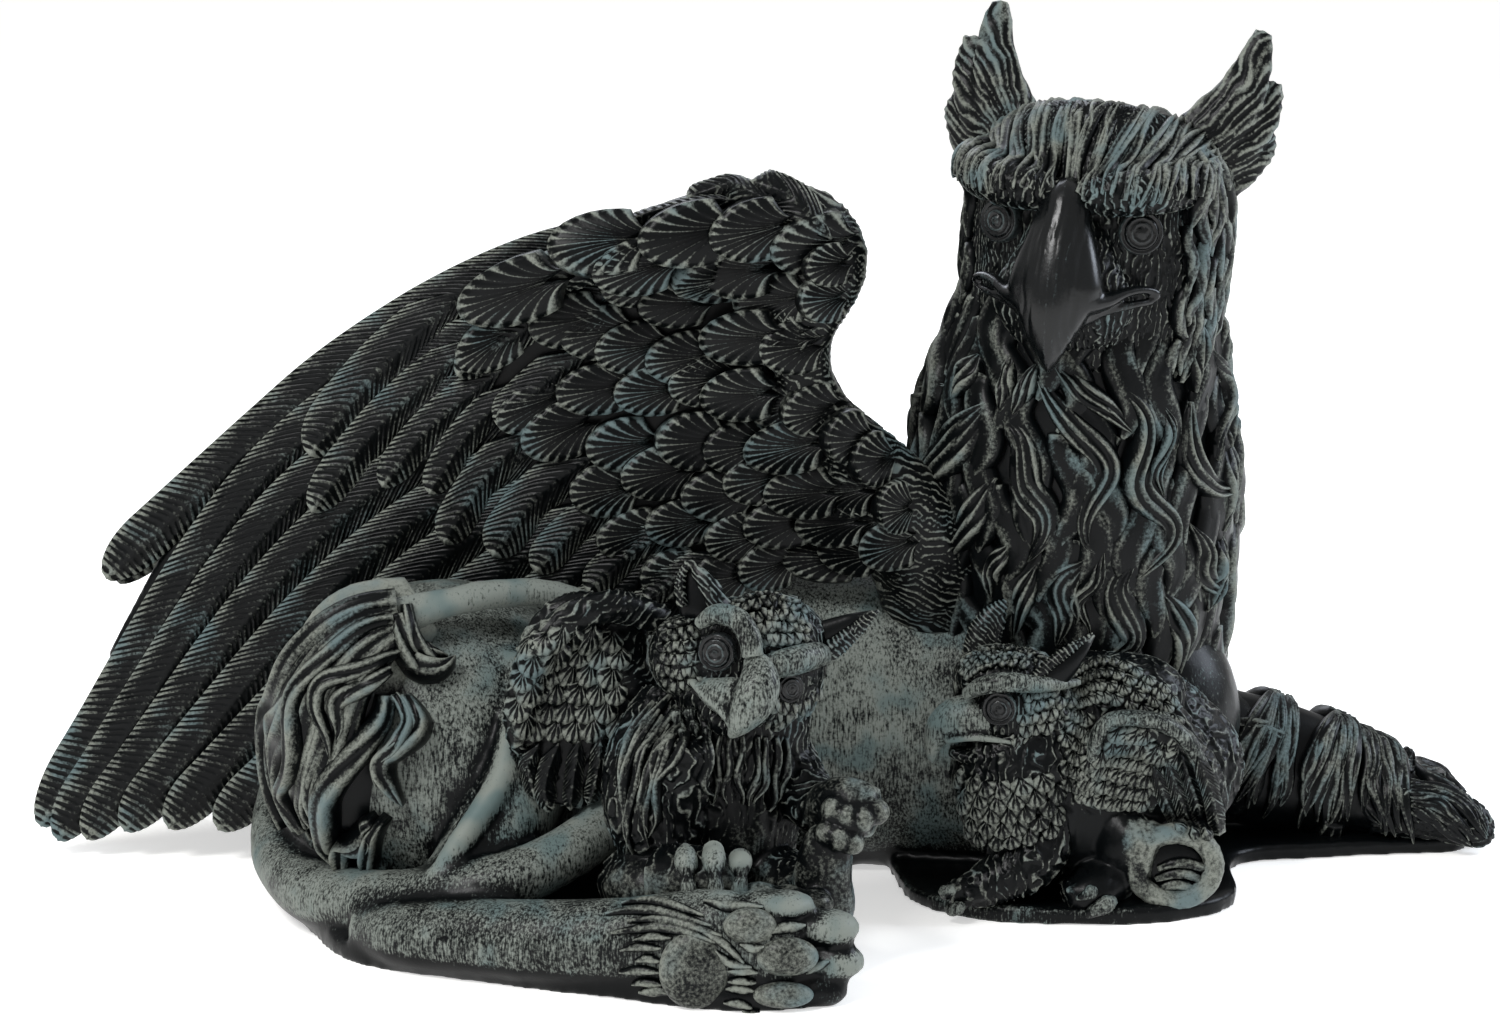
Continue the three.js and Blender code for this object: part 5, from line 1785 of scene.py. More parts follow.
@dataclass
class TailTuft:
    """The big wavy tuft at the tail's end, which hangs over the haunch."""

    name: str = "tail_tuft"
    # The tuft's outer and inner edge in pixels; its under locks open like a fan between them.
    outer: Pixels = (396, 598, 352, 604, 313, 634, 284, 679, 270, 712, 271, 748, 272, 779, 290, 818)
    inner: Pixels = (396, 640, 380, 665, 364, 688, 354, 714, 352, 744, 342, 779, 334, 812, 350, 850)
    locks: tuple[Stroke, ...] = ((9, 408, 700, 424, 722, 417, 738, 390, 755, 390, 778, 406, 802),
        (8, 398, 700, 412, 720, 402, 742, 386, 760, 386, 784),
        (13, 384, 694, 381, 719, 357, 749, 330, 785, 327, 809, 339, 840, 351, 858),
        (8, 378, 815, 363, 825, 352, 840, 357, 868), (7, 388, 815, 375, 838, 377, 868),
        (9, 387, 670, 363, 686, 340, 700, 342, 725, 339, 738),
        (9, 393, 650, 363, 668, 326, 680, 320, 706, 330, 732, 334, 755),
        (10, 392, 618, 362, 626, 332, 656, 302, 688, 300, 720, 304, 762, 298, 792, 316, 826),
        (10, 396, 612, 402, 648, 420, 673, 442, 675, 455, 664),
        (8, 406, 604, 410, 636, 426, 656, 448, 664))

    def mass(self) -> Form:
        """The soft mass under the tuft's locks."""
        return loft([[-21.6, -18.6, 22, 2.2, 1.6], [-25.4, -19.6, 19.6, 4, 1.7],
            [-26.4, -20.4, 15, 4.2, 1.8], [-26.4, -21, 10, 3, 1.5], [-26.6, -21.2, 7.4, 1.4, 0.8]],
            facing=NEAR)

    def build(self, shop: Workshop) -> bpy.types.Object:
        """The finished tuft."""
        mass = fuse([self.mass()], 0.35)
        ground = Ground(join([ball([-21, -12, 10.5], [11.6, 11, 11.8]), mass]))
        top = smoothly(mass.points[:, 2], 14, 19)
        forms = [Form(mass.points, mass.faces, mass.tone - 0.2 + 1.1 * top)]
        for k, line in enumerate(fan(self.outer, self.inner, 9, seed=8, jitter=0.03, wave=5)):
            lock = Lock(half=0.95, rise=1.3, grooves=2, steps=34, sway=0.5, lift=0.3, root=0.8, sink=1.4,
                sides=18)
            forms.append(traced(ground, line, lock, seed=30 + k).toned(0.15))
        for k, (half, *line) in enumerate(self.locks):
            lock = Lock(half=VIEW.squares(half) * 1.25, rise=2.0, grooves=2, steps=36, sway=0.5, lift=0.6,
                root=0.6, sink=1.2, sides=20)
            forms.append(traced(ground, line, lock, seed=50 + k).toned(0.2))
        return shop.piece(self.name, [(join(forms), Skin.FEATHER)])


# Strands that open like a fan: how many, half a width, how high they stand, and the two outermost lines.
Fan = tuple[int, float, float, Pixels, Pixels]


@dataclass
class Foreleg:
    """The stretched foreleg: three tiers of long hair and the paw."""

    name: str = "shaggy_foreleg"
    fans: tuple[Fan, ...] = ((6, 0.6, 0.7, (1358, 712, 1374, 742, 1384, 780, 1388, 822),
        (1360, 712, 1390, 739, 1403, 775, 1412, 828)), (5, 0.55, 0.7,
        (1354, 716, 1362, 745, 1364, 790, 1372, 826), (1358, 712, 1372, 742, 1380, 785, 1388, 824)),
        (4, 0.6, 1.0, (1336, 716, 1316, 735, 1308, 760, 1306, 778),
        (1338, 712, 1330, 745, 1314, 785, 1304, 818)), (6, 0.6, 1.0,
        (1338, 710, 1334, 750, 1320, 790, 1310, 818), (1340, 706, 1354, 738, 1356, 780, 1346, 824)),
        (9, 0.6, 0.9, (1276, 690, 1254, 714, 1232, 748, 1212, 776),
        (1280, 692, 1280, 730, 1266, 770, 1252, 808)), (5, 0.6, 0.8,
        (1282, 692, 1284, 730, 1276, 768, 1262, 802), (1294, 700, 1292, 742, 1288, 772, 1282, 800)),
        (5, 0.5, 0.8, (1262, 688, 1280, 682, 1300, 688, 1318, 700),
        (1276, 676, 1300, 678, 1318, 690, 1334, 702)))
    paw_fans: tuple[Fan, ...] = ((8, 0.42, 0.4, (1406, 784, 1440, 784, 1466, 800, 1484, 826),
        (1412, 812, 1432, 822, 1452, 836, 1468, 848)), (4, 0.42, 0.4,
        (1404, 760, 1432, 762, 1456, 770, 1472, 782), (1404, 772, 1432, 774, 1454, 782, 1470, 792)),
        (3, 0.4, 0.35, (1400, 750, 1412, 747, 1426, 752), (1402, 758, 1414, 755, 1428, 759)))

    def bed(self) -> list[Form]:
        """The forearm and paw without their hair."""
        forearm = loft([[30, 3.8, 7, 4, 5], [37, 3.4, 5.6, 3.4, 4.9], [42, 3.2, 4.4, 3.1, 4.2],
            [47, 3, 3, 2.8, 3]])
        toes = [loft([[44.6, 0.6 + 1.8 * k, 3.4, 1.3, 2.2], [48.6, -0.1 + 2.1 * k, 3, 1.4, 2],
            [51.4 - 0.4 * abs(k - 1), -0.4 + 2.3 * k, 2.1, 1.25, 1.5],
            [52.8 - 0.5 * abs(k - 1), -0.5 + 2.3 * k, 1.4, 0.9, 1],
            [53.4 - 0.5 * abs(k - 1), -0.6 + 2.3 * k, 1, 0.4, 0.5]]) for k in range(4)]
        return [forearm, *toes]

    def shag(self, ground: Ground) -> list[Form]:
        """The tiers of strands that the photograph shows, from the paw up."""
        made = []
        for tier, (count, half, rise, first, last) in enumerate(self.paw_fans + self.fans):
            for k, line in enumerate(fan(first, last, count, seed=tier, jitter=0.1,
                    wave=5 if rise > 0.5 else 2)):
                lock = Lock(half=half, rise=rise, grooves=2, steps=28, sway=0.6, lift=0.5 * rise, root=0.6,
                    sink=0.8, sides=16, cut=0.4)
                made.append(traced(ground, line, lock, seed=90 + 10 * tier + k).toned(-0.15))
        return made

    def build(self, shop: Workshop) -> bpy.types.Object:
        """The finished foreleg."""
        bed = fuse(self.bed(), 0.26)
        x, y, z = bed.points.T
        furrows = strands(bed.points, z - 0.8 * y, 0.7, 1.0, 3, 3)
        bed = combed(bed, furrows, 0.3, smoothly(x, 43, 45))
        ground = Ground(bed)
        near = self.shag(ground)
        tuft = traced(ground, (1334, 816, 1322, 841, 1309, 866),
            Lock(half=1.0, rise=1.2, grooves=3, root=0.9, lift=0.5), seed=5)
        far = mirrored(join(near), 3.4)
        return shop.piece(self.name, [(join([bed.toned(-0.35), *near, tuft, far]), Skin.FEATHER)])


# Stations along a form: a pixel of the photograph, how deep it lies in squares, and the half-sizes there.
Sighted = Sequence[Sequence[float]]


def sighted(rows: Sighted) -> list[list[float]]:
    """Places in squares, with the half-sizes after them, from rows of a pixel, a depth and half-sizes."""
    made = []
    for u, v, depth, *sizes in rows:
        ray = VIEW.rays([(u, v)])[0]
        made.append([*(np.array(VIEW.place) + ray * (depth - VIEW.place[1]) / ray[1]), *sizes])
    return made


@dataclass(frozen=True)
class CubHead:
    """A cub's eagle head, its forms placed by the pixels that show them.

    Attributes:
        skull: The balls that it is made of, the main one first.
        jaw: Its lower bill.
        brows: The smooth rolls over its eyes.
        beak: The upper bill and its lips.
        hollows: The leaves inside its ears, painted darker as the shade in their hollows.
        rims: The pale rims of its ears.
        eyes: Each eye's pixel, depth and size, and how far it looks to the right and up.
        scales: The scales on its near side.
        grain: The size of the clay skin's faces.
    """

    skull: Sighted
    jaw: Sighted
    brows: tuple[Sighted, ...]
    beak: tuple[Sighted, ...]
    hollows: tuple[Sighted, ...]
    rims: tuple[Sighted, ...]
    eyes: tuple[tuple[float, float, float, float, float, float], ...]
    scales: tuple[Patch, ...]
    grain: float = 0.13

    def lofted(self, rows: Sequence[Sighted]) -> list[Form]:
        """Lofts seen flat on by the photograph's camera."""
        return [loft(sighted(stations), facing=NEAR) for stations in rows]

    def eye(self, u: float, v: float, depth: float, size: float, right: float, up: float) -> Form:
        """A round eye with engraved rings."""
        profile = [(radius * size, 1.3 * height * size) for radius, height in EYE_PROFILE]
        return turned(profile, sighted([(u, v, depth)])[0], [right, -1, up])

    def far_side(self, spots: Spots, ground: Ground) -> None:
        """Adds the scales of the side that the photograph doesn't show."""
        centre = sighted([self.skull[0][:3]])[0]
        for row, high in enumerate(range(-60, 75, 15)):
            count = max(int(22 * math.cos(math.radians(high))), 4)
            for k in range(count):
                turn = math.radians(95 + 170 * (k + 0.5 * (row % 2)) / count)
                leans = (math.radians(high + 10), math.radians(high - 10))
                ways = [[math.sin(turn) * math.cos(a), -math.cos(turn) * math.cos(a), math.sin(a)]
                    for a in leans]
                places, normals = ground.about(centre, ways)
                facing = unit(normals[0] + normals[1])
                spots.add(places[0] - 0.1 * facing, places[1] + 0.2 * facing, facing, 1.1, thick=1.2)

    def build(self, shop: Workshop) -> list[tuple[Form, Skin]]:
        """The head's forms."""
        balls = [ball(place[:3], place[3:]) for place in sighted(self.skull)]
        skull = fuse([*balls, *self.lofted([self.jaw])], self.grain)
        spot = skull.points
        middle = sighted([self.skull[0][:3]])[0]
        curls = strands(spot, around(spot, middle[0], middle[1], 4), 0.36, 1.3, 0.8, 5)
        skull = combed(skull, curls, 0.16)
        ground = Ground(skull)
        spots = Spots()
        for k, patch in enumerate(self.scales):
            patch.stood(spots, ground, k)
        self.far_side(spots, ground)
        down = shop.scatter.feathers(spots, scale_card(seed=21, barbs=3, rows=5, carve=0.05))
        # The ears' hollows are painted darker, as shade.
        hollows = join(self.lofted(self.hollows)).toned(-0.25)
        rims = fuse(self.lofted(self.rims), self.grain)
        lines = strands(rims.points, rims.points[:, 0] + rims.points[:, 2], 0.4, 0.8, 1.2, 6)
        brows = fuse(self.lofted(self.brows), self.grain)
        beak = fuse(self.lofted(self.beak), self.grain)
        return [(join([skull, down, hollows, combed(rims, lines, 0.1).toned(0.35)]), Skin.FEATHER),
            (join([brows.toned(-0.1), beak.toned(0.1)]), Skin.HIDE),
            (join([self.eye(*row) for row in self.eyes]), Skin.HORN)]


# How wide a toe or claw is along its stroke, as shares of its full width.
CLAW = (0.5, 0.95, 0.9, 0.7, 0.5, 0.25)
KNUCKLED = (0.4, 0.85, 1, 0.88, 0.56, 0.66, 0.74, 0.68, 0.5, 0.22)


def clawed(ground: Ground, strokes: Sequence[Stroke], profile: Sequence[float], lift: float) -> list[Form]:
    """Smooth toes or claws along strokes.

    Args:
        ground: What they grow from.
        strokes: The strokes.
        profile: How wide they are along the stroke.
        lift: How far their middle stands off the ground, in squares.
    """
    made = []
    for half, *line in strokes:
        places, normals = ground.seen(spread(line, len(profile)))
        wide = VIEW.squares(half) * np.array(profile)
        made.append(loft(np.c_[places + lift * normals, wide, wide], sides=16, steps=24, facing=NEAR))
    return made


def quilled(ground: Ground, strokes: Sequence[Stroke], barb: float, lift: float, seed: int) -> list[Form]:
    """A cub's long wing feathers along strokes.

    Args:
        ground: What they lie on.
        strokes: The strokes.
        barb: How far apart the barbs are, in squares.
        lift: How far they stand off the ground, in squares.
        seed: Another number cuts the barbs otherwise.
    """
    made = []
    for k, (half, *line) in enumerate(strokes):
        places, _ = ground.seen(spread(line, 6))
        width = VIEW.squares(half)
        quill = LongFeather(width, width, barb=barb, carve=0.09, cup=0.3, round_end=0.2, thick=0.5)
        made.append(quill.laid(places + lift * NEAR, NEAR, seed=seed + k))
    return made


SITTING_CUB_HEAD = CubHead(skull=((742, 668, -23.2, 5.3, 4.6, 4.6), (765, 640, -24.5, 4.0, 3.2, 3.0),
    (686, 656, -24.4, 2.4, 2.6, 2.7), (746, 694, -26.2, 2.4, 2.2, 2.2)),
    jaw=((706, 704, -26.2, 0.7, 0.7), (718, 718, -27.2, 0.9, 0.8), (729, 729, -27.8, 0.6, 0.6)),
    brows=(((698, 624, -26.8, 0.4, 0.4), (716, 614, -27.6, 0.65, 0.6), (737, 619, -28.1, 0.75, 0.7),
    (749, 636, -28.5, 0.75, 0.7), (753, 657, -28.8, 0.7, 0.7)),
    ((762, 665, -28.5, 0.6, 0.6), (780, 664, -28.3, 0.9, 0.8), (800, 659, -27.6, 0.95, 0.9),
    (817, 655, -26.2, 0.85, 0.8), (827, 657, -24.8, 0.5, 0.5))),
    beak=(((752, 656, -28.3, 0.6, 0.5), (758, 669, -28.9, 1.1, 0.9), (759, 686, -29.5, 1.35, 1.1),
    (753, 702, -29.9, 1.35, 1.1), (744, 717, -30, 1.05, 0.9), (736, 729, -29.9, 0.6, 0.6),
    (730, 737, -29.7, 0.2, 0.2)), ((704, 688, -27.4, 0.7, 0.6), (717, 694, -28.2, 1.1, 0.9),
    (733, 699, -28.8, 1.4, 1), (746, 705, -29.2, 1.2, 1)), ((692, 681, -27.2, 0.26, 0.3),
    (704, 694, -28.2, 0.32, 0.36), (717, 705, -29, 0.36, 0.4), (728, 716, -29.6, 0.4, 0.42),
    (734, 728, -29.9, 0.36, 0.4))), hollows=(((707, 620, -24.4, 1.5, 0.8), (701, 604, -24.4, 1.5, 0.7),
    (694, 586, -24.2, 1.15, 0.5), (689, 570, -24, 0.6, 0.35), (687, 562, -23.9, 0.15, 0.15)),
    ((806, 642, -24.4, 1.2, 0.8), (828, 635, -24.5, 1.05, 0.6), (850, 624, -24.6, 0.7, 0.45),
    (872, 613, -24.7, 0.2, 0.2))), rims=(((725, 619, -25.6, 0.8, 0.7), (718, 602, -25.5, 0.72, 0.7),
    (708, 585, -25.2, 0.6, 0.6), (697, 571, -24.8, 0.4, 0.4), (688, 560, -24.4, 0.14, 0.14)),
    ((683, 606, -25, 0.36, 0.4), (680, 588, -24.9, 0.36, 0.4), (683, 572, -24.6, 0.28, 0.3),
    (688, 560, -24.3, 0.14, 0.14)), ((818, 657, -25.2, 0.62, 0.7), (836, 647, -25.3, 0.66, 0.7),
    (855, 631, -25.2, 0.5, 0.5), (870, 617, -25, 0.32, 0.32), (879, 610, -24.9, 0.12, 0.12))),
    eyes=((716, 653, -27.7, 0.68, -0.35, 0.05), (791, 689, -27.0, 0.52, 0.45, -0.05)),
    scales=(Patch((660, 628, 676, 620, 694, 620), (664, 690, 680, 698, 700, 694), 6, 4, 12, 13, (95, 85)),
    Patch((722, 604, 762, 590, 802, 604), (758, 652, 782, 652, 812, 646), 5, 8, 13, 12, (100, 70)),
    Patch((770, 706, 800, 708, 824, 690), (768, 736, 790, 742, 812, 730), 3, 6, 13, 12, (95, 100))))
CROUCHING_CUB_HEAD = CubHead(skull=((1018, 706, -14.2, 3.9, 3.5, 3.3), (1004, 676, -14, 3.3, 3, 1.9),
    (1014, 736, -14.6, 2.9, 2.6, 1.9)), jaw=((950, 751, -15.2, 0.35, 0.8), (966, 754, -15.2, 0.55, 1.3),
    (988, 757, -15.2, 0.8, 1.8), (1010, 755, -15.4, 0.8, 1.8)),
    brows=(((966, 694, -16.4, 0.4, 0.5), (982, 686, -17.3, 0.62, 0.65), (1006, 682, -17.8, 0.68, 0.7),
    (1032, 684, -17.6, 0.6, 0.6), (1058, 684, -16.8, 0.45, 0.5), (1080, 682, -15.8, 0.22, 0.25)),),
    beak=(((994, 716, -15.2, 1.5, 1.9), (972, 717, -15.2, 1.6, 1.75), (955, 720, -15.2, 1.5, 1.45),
    (942, 727, -15.2, 1.15, 1.1), (935, 739, -15.2, 0.78, 0.75), (932, 751, -15.2, 0.5, 0.5),
    (933, 763, -15.2, 0.14, 0.14)), ((946, 741, -16, 0.2, 0.3), (968, 738, -16.6, 0.24, 0.3),
    (990, 739, -17.1, 0.22, 0.3), (1012, 743, -17.4, 0.14, 0.2))),
    hollows=(((1040, 684, -16.6, 1, 0.6), (1056, 674, -16.6, 1, 0.6), (1074, 657, -16.4, 0.7, 0.5),
    (1094, 635, -16, 0.12, 0.12)),), rims=(((1032, 681, -17.2, 0.36, 0.4), (1050, 664, -17.2, 0.4, 0.4),
    (1070, 649, -17, 0.34, 0.36), (1093, 633, -16.4, 0.12, 0.12)),
    ((978, 658, -12.4, 1.2, 0.8), (984, 636, -12.2, 1.2, 0.7), (993, 618, -12, 0.95, 0.6),
    (1001, 606, -12, 0.5, 0.5), (1005, 600, -12, 0.14, 0.14))),
    eyes=((999, 709, -17.6, 0.64, -0.15, 0.03),), scales=(Patch((960, 664, 990, 646, 1040, 652),
    (964, 684, 1000, 672, 1052, 674), 4, 9, 10, 10, (105, 95)),
    Patch((1026, 698, 1046, 692, 1072, 694), (1012, 764, 1040, 764, 1072, 748), 6, 5, 12, 12, (100, 90)),
    Patch((974, 768, 1004, 772, 1036, 766), (974, 792, 1004, 798, 1040, 790), 2, 7, 22, 10, (88, 84))))


@dataclass
class SittingCub:
    """The cub that sits up on the griffin's hind foot and holds its own."""

    name: str = "sitting_cub"
    # Its wing's small feathers, and its long ones: half a width and pixels from the root to the tip.
    feathers: tuple[Patch, ...] = (Patch((524, 656, 560, 640, 620, 648), (508, 745, 556, 752, 618, 748), 6,
        6, 27, 23, (112, 98)),)
    quills: tuple[Stroke, ...] = ((8, 524, 742, 512, 760, 508, 778), (9, 540, 740, 524, 772, 524, 802),
        (10, 560, 738, 546, 780, 548, 826), (9, 580, 736, 574, 776, 570, 816),
        (9, 602, 730, 598, 770, 590, 804))
    # The curls on its arm and breast: how many, half a width, and the lines that they open between.
    curls: tuple[tuple[int, float, Pixels, Pixels], ...] = (
        (6, 0.36, (652, 700, 624, 740, 612, 790, 628, 838), (676, 742, 668, 780, 662, 812, 652, 846)),
        (4, 0.36, (668, 690, 640, 722, 622, 756, 618, 786), (690, 740, 684, 760, 672, 782, 664, 800)),
        (8, 0.3, (704, 734, 700, 756, 698, 778, 704, 798), (792, 738, 796, 762, 790, 786, 782, 806)))
    # The toes of its hind foot, knuckle and claw in one stroke, and the clenched toes under its beak.
    toes: tuple[Stroke, ...] = ((11, 686, 852, 689, 880, 693, 906), (11, 712, 848, 714, 880, 715, 908),
        (11, 738, 852, 737, 880, 735, 904))
    talons: tuple[Stroke, ...] = ((7, 673, 712, 677, 728), (5, 677, 724, 683, 746), (7, 692, 708, 695, 722),
        (5, 695, 720, 700, 742), (5, 708, 726, 711, 744))

    def trunk(self) -> list[Form]:
        """Its body, thigh and limbs without their hair."""
        body = loft([[-2, -22, 2, 4.4, 4], [-2.4, -22, 8, 5.6, 5.4], [-1.6, -22, 13, 5.4, 5.2],
            [-0.4, -22.5, 18.6, 4.6, 4.4]], facing=NEAR)
        upper_arm = loft([[-5, -22.6, 16.6, 2.2, 2.2], [-6.2, -25, 12.8, 3.2, 2.8],
            [-5.8, -26.6, 9, 3.2, 2.6], [-5, -26.8, 6.8, 1.6, 1.4]], facing=NEAR)
        forearm = loft([[-5, -27, 10, 2.1, 1.9], [-4.4, -28.4, 13, 1.8, 1.6], [-4, -28.9, 15.2, 1.4, 1.3]],
            facing=NEAR)
        held_leg = loft([[1.5, -25, 4.6, 2.8, 2.6], [4.4, -29.4, 4.4, 2.2, 1.9], [4.6, -30, 6.6, 1.9, 1.6],
            [4.9, -30.2, 8.6, 1.7, 1.4], [5.4, -30.2, 9.6, 1.3, 1]], facing=NEAR)
        holding_arm = loft([[2, -22, 12, 2.4, 2.4], [4.4, -26, 10.2, 1.7, 1.8], [6, -29, 11, 2, 1.6],
            [8, -29.8, 10.8, 1.6, 1.3]], facing=NEAR)
        toes = [ball(place, [0.76, 0.9, 0.84]) for place in sighted(
            [(832, 810, -30.6), (847, 817, -31), (863, 819, -31), (878, 812, -30.4), (827, 833, -31),
            (840, 838, -31.4), (853, 842, -31.2)])]
        resting = loft([[-5.6, -29.6, 6.4, 2.6, 2.2], [-2.8, -31, 7, 2.6, 1.7], [-0.6, -31.2, 6.8, 1.6, 1.2]])
        thigh = ball([-5.6, -26.6, 5.4], [4.2, 4, 2.6])
        hind_toes = [ball([x, -32.4, z], [1.3, 1.2, 0.9]) for x, z in ((0.6, 6.1), (2.4, 5.9), (4, 5.6))]
        return [body, upper_arm, forearm, held_leg, holding_arm, *toes, resting, thigh, *hind_toes]

    def wing(self) -> list[Form]:
        """The small wing behind its shoulder, hollow towards the near side."""
        shell = loft([[-8.6, -20.4, 22, 2.4, 1], [-10.4, -21.6, 19.4, 4.6, 1.2],
            [-11.4, -22.4, 14.6, 4.2, 1.2], [-12.4, -23, 9.6, 1.6, 0.7]], facing=NEAR)
        rim = loft([[-5.6, -21.6, 21.6, 1, 1], [-9.4, -23.2, 22.8, 1.1, 1.1],
            [-13.4, -23.8, 20.6, 1.05, 1.1], [-15.2, -23.8, 16.4, 0.8, 0.8],
            [-15.2, -23.8, 13.6, 0.5, 0.5]], facing=NEAR)
        return [shell, rim]

    def build(self, shop: Workshop) -> bpy.types.Object:
        """The finished cub."""
        base = fuse(self.trunk(), 0.18, smoothing=3)
        x, y, z = base.points.T
        bare = smoothly(x, -3, -1) * smoothly(-z, -11, -9) * (1 - smoothly(x, 1, 2.4))
        bare = np.maximum(bare, smoothly(-y, 27, 28.6) * (1 - smoothly(z, 7.4, 8.6)))
        bare = np.maximum(bare, smoothly(x, 2.6, 3.6) * smoothly(-y, 27, 28))
        base.tone = 0.6 * bare - 0.15
        hair = strands(base.points, around(base.points, -2.4, -20.5, 5.4), 0.44, 1.6, 1.5, 3)
        fur = combed(base, hair, 0.28, 1 - 0.9 * bare)
        shell = fuse(self.wing(), 0.2)
        x, _, z = shell.points.T
        shell = combed(shell, strands(shell.points, x - z, 0.7, 1.4, 1.6, 4), 0.14)
        ground = Ground(join([shell, base]))
        feathers = [patched(shop, Ground(shell), self.feathers, seed=61, barbs=6)]
        arm = Ground(base)
        for tier, (count, half, first, last) in enumerate(self.curls):
            for k, line in enumerate(fan(first, last, count, seed=tier, jitter=0.1, wave=6)):
                lock = Lock(half=half, rise=0.55, grooves=2, sides=12, steps=26, sway=0.5, root=0.6, cut=0.4)
                feathers.append(traced(arm, line, lock, seed=300 + 10 * tier + k))
        feathers += quilled(ground, self.quills, 0.36, 0.5, 80)
        claws = [*clawed(ground, self.talons, CLAW, 0.35), *clawed(ground, self.toes, KNUCKLED, 0.35)]
        return shop.piece(self.name, [(join([fur, shell, *feathers]), Skin.FEATHER),
            (join(claws).toned(-0.7), Skin.HIDE), *SITTING_CUB_HEAD.build(shop)])


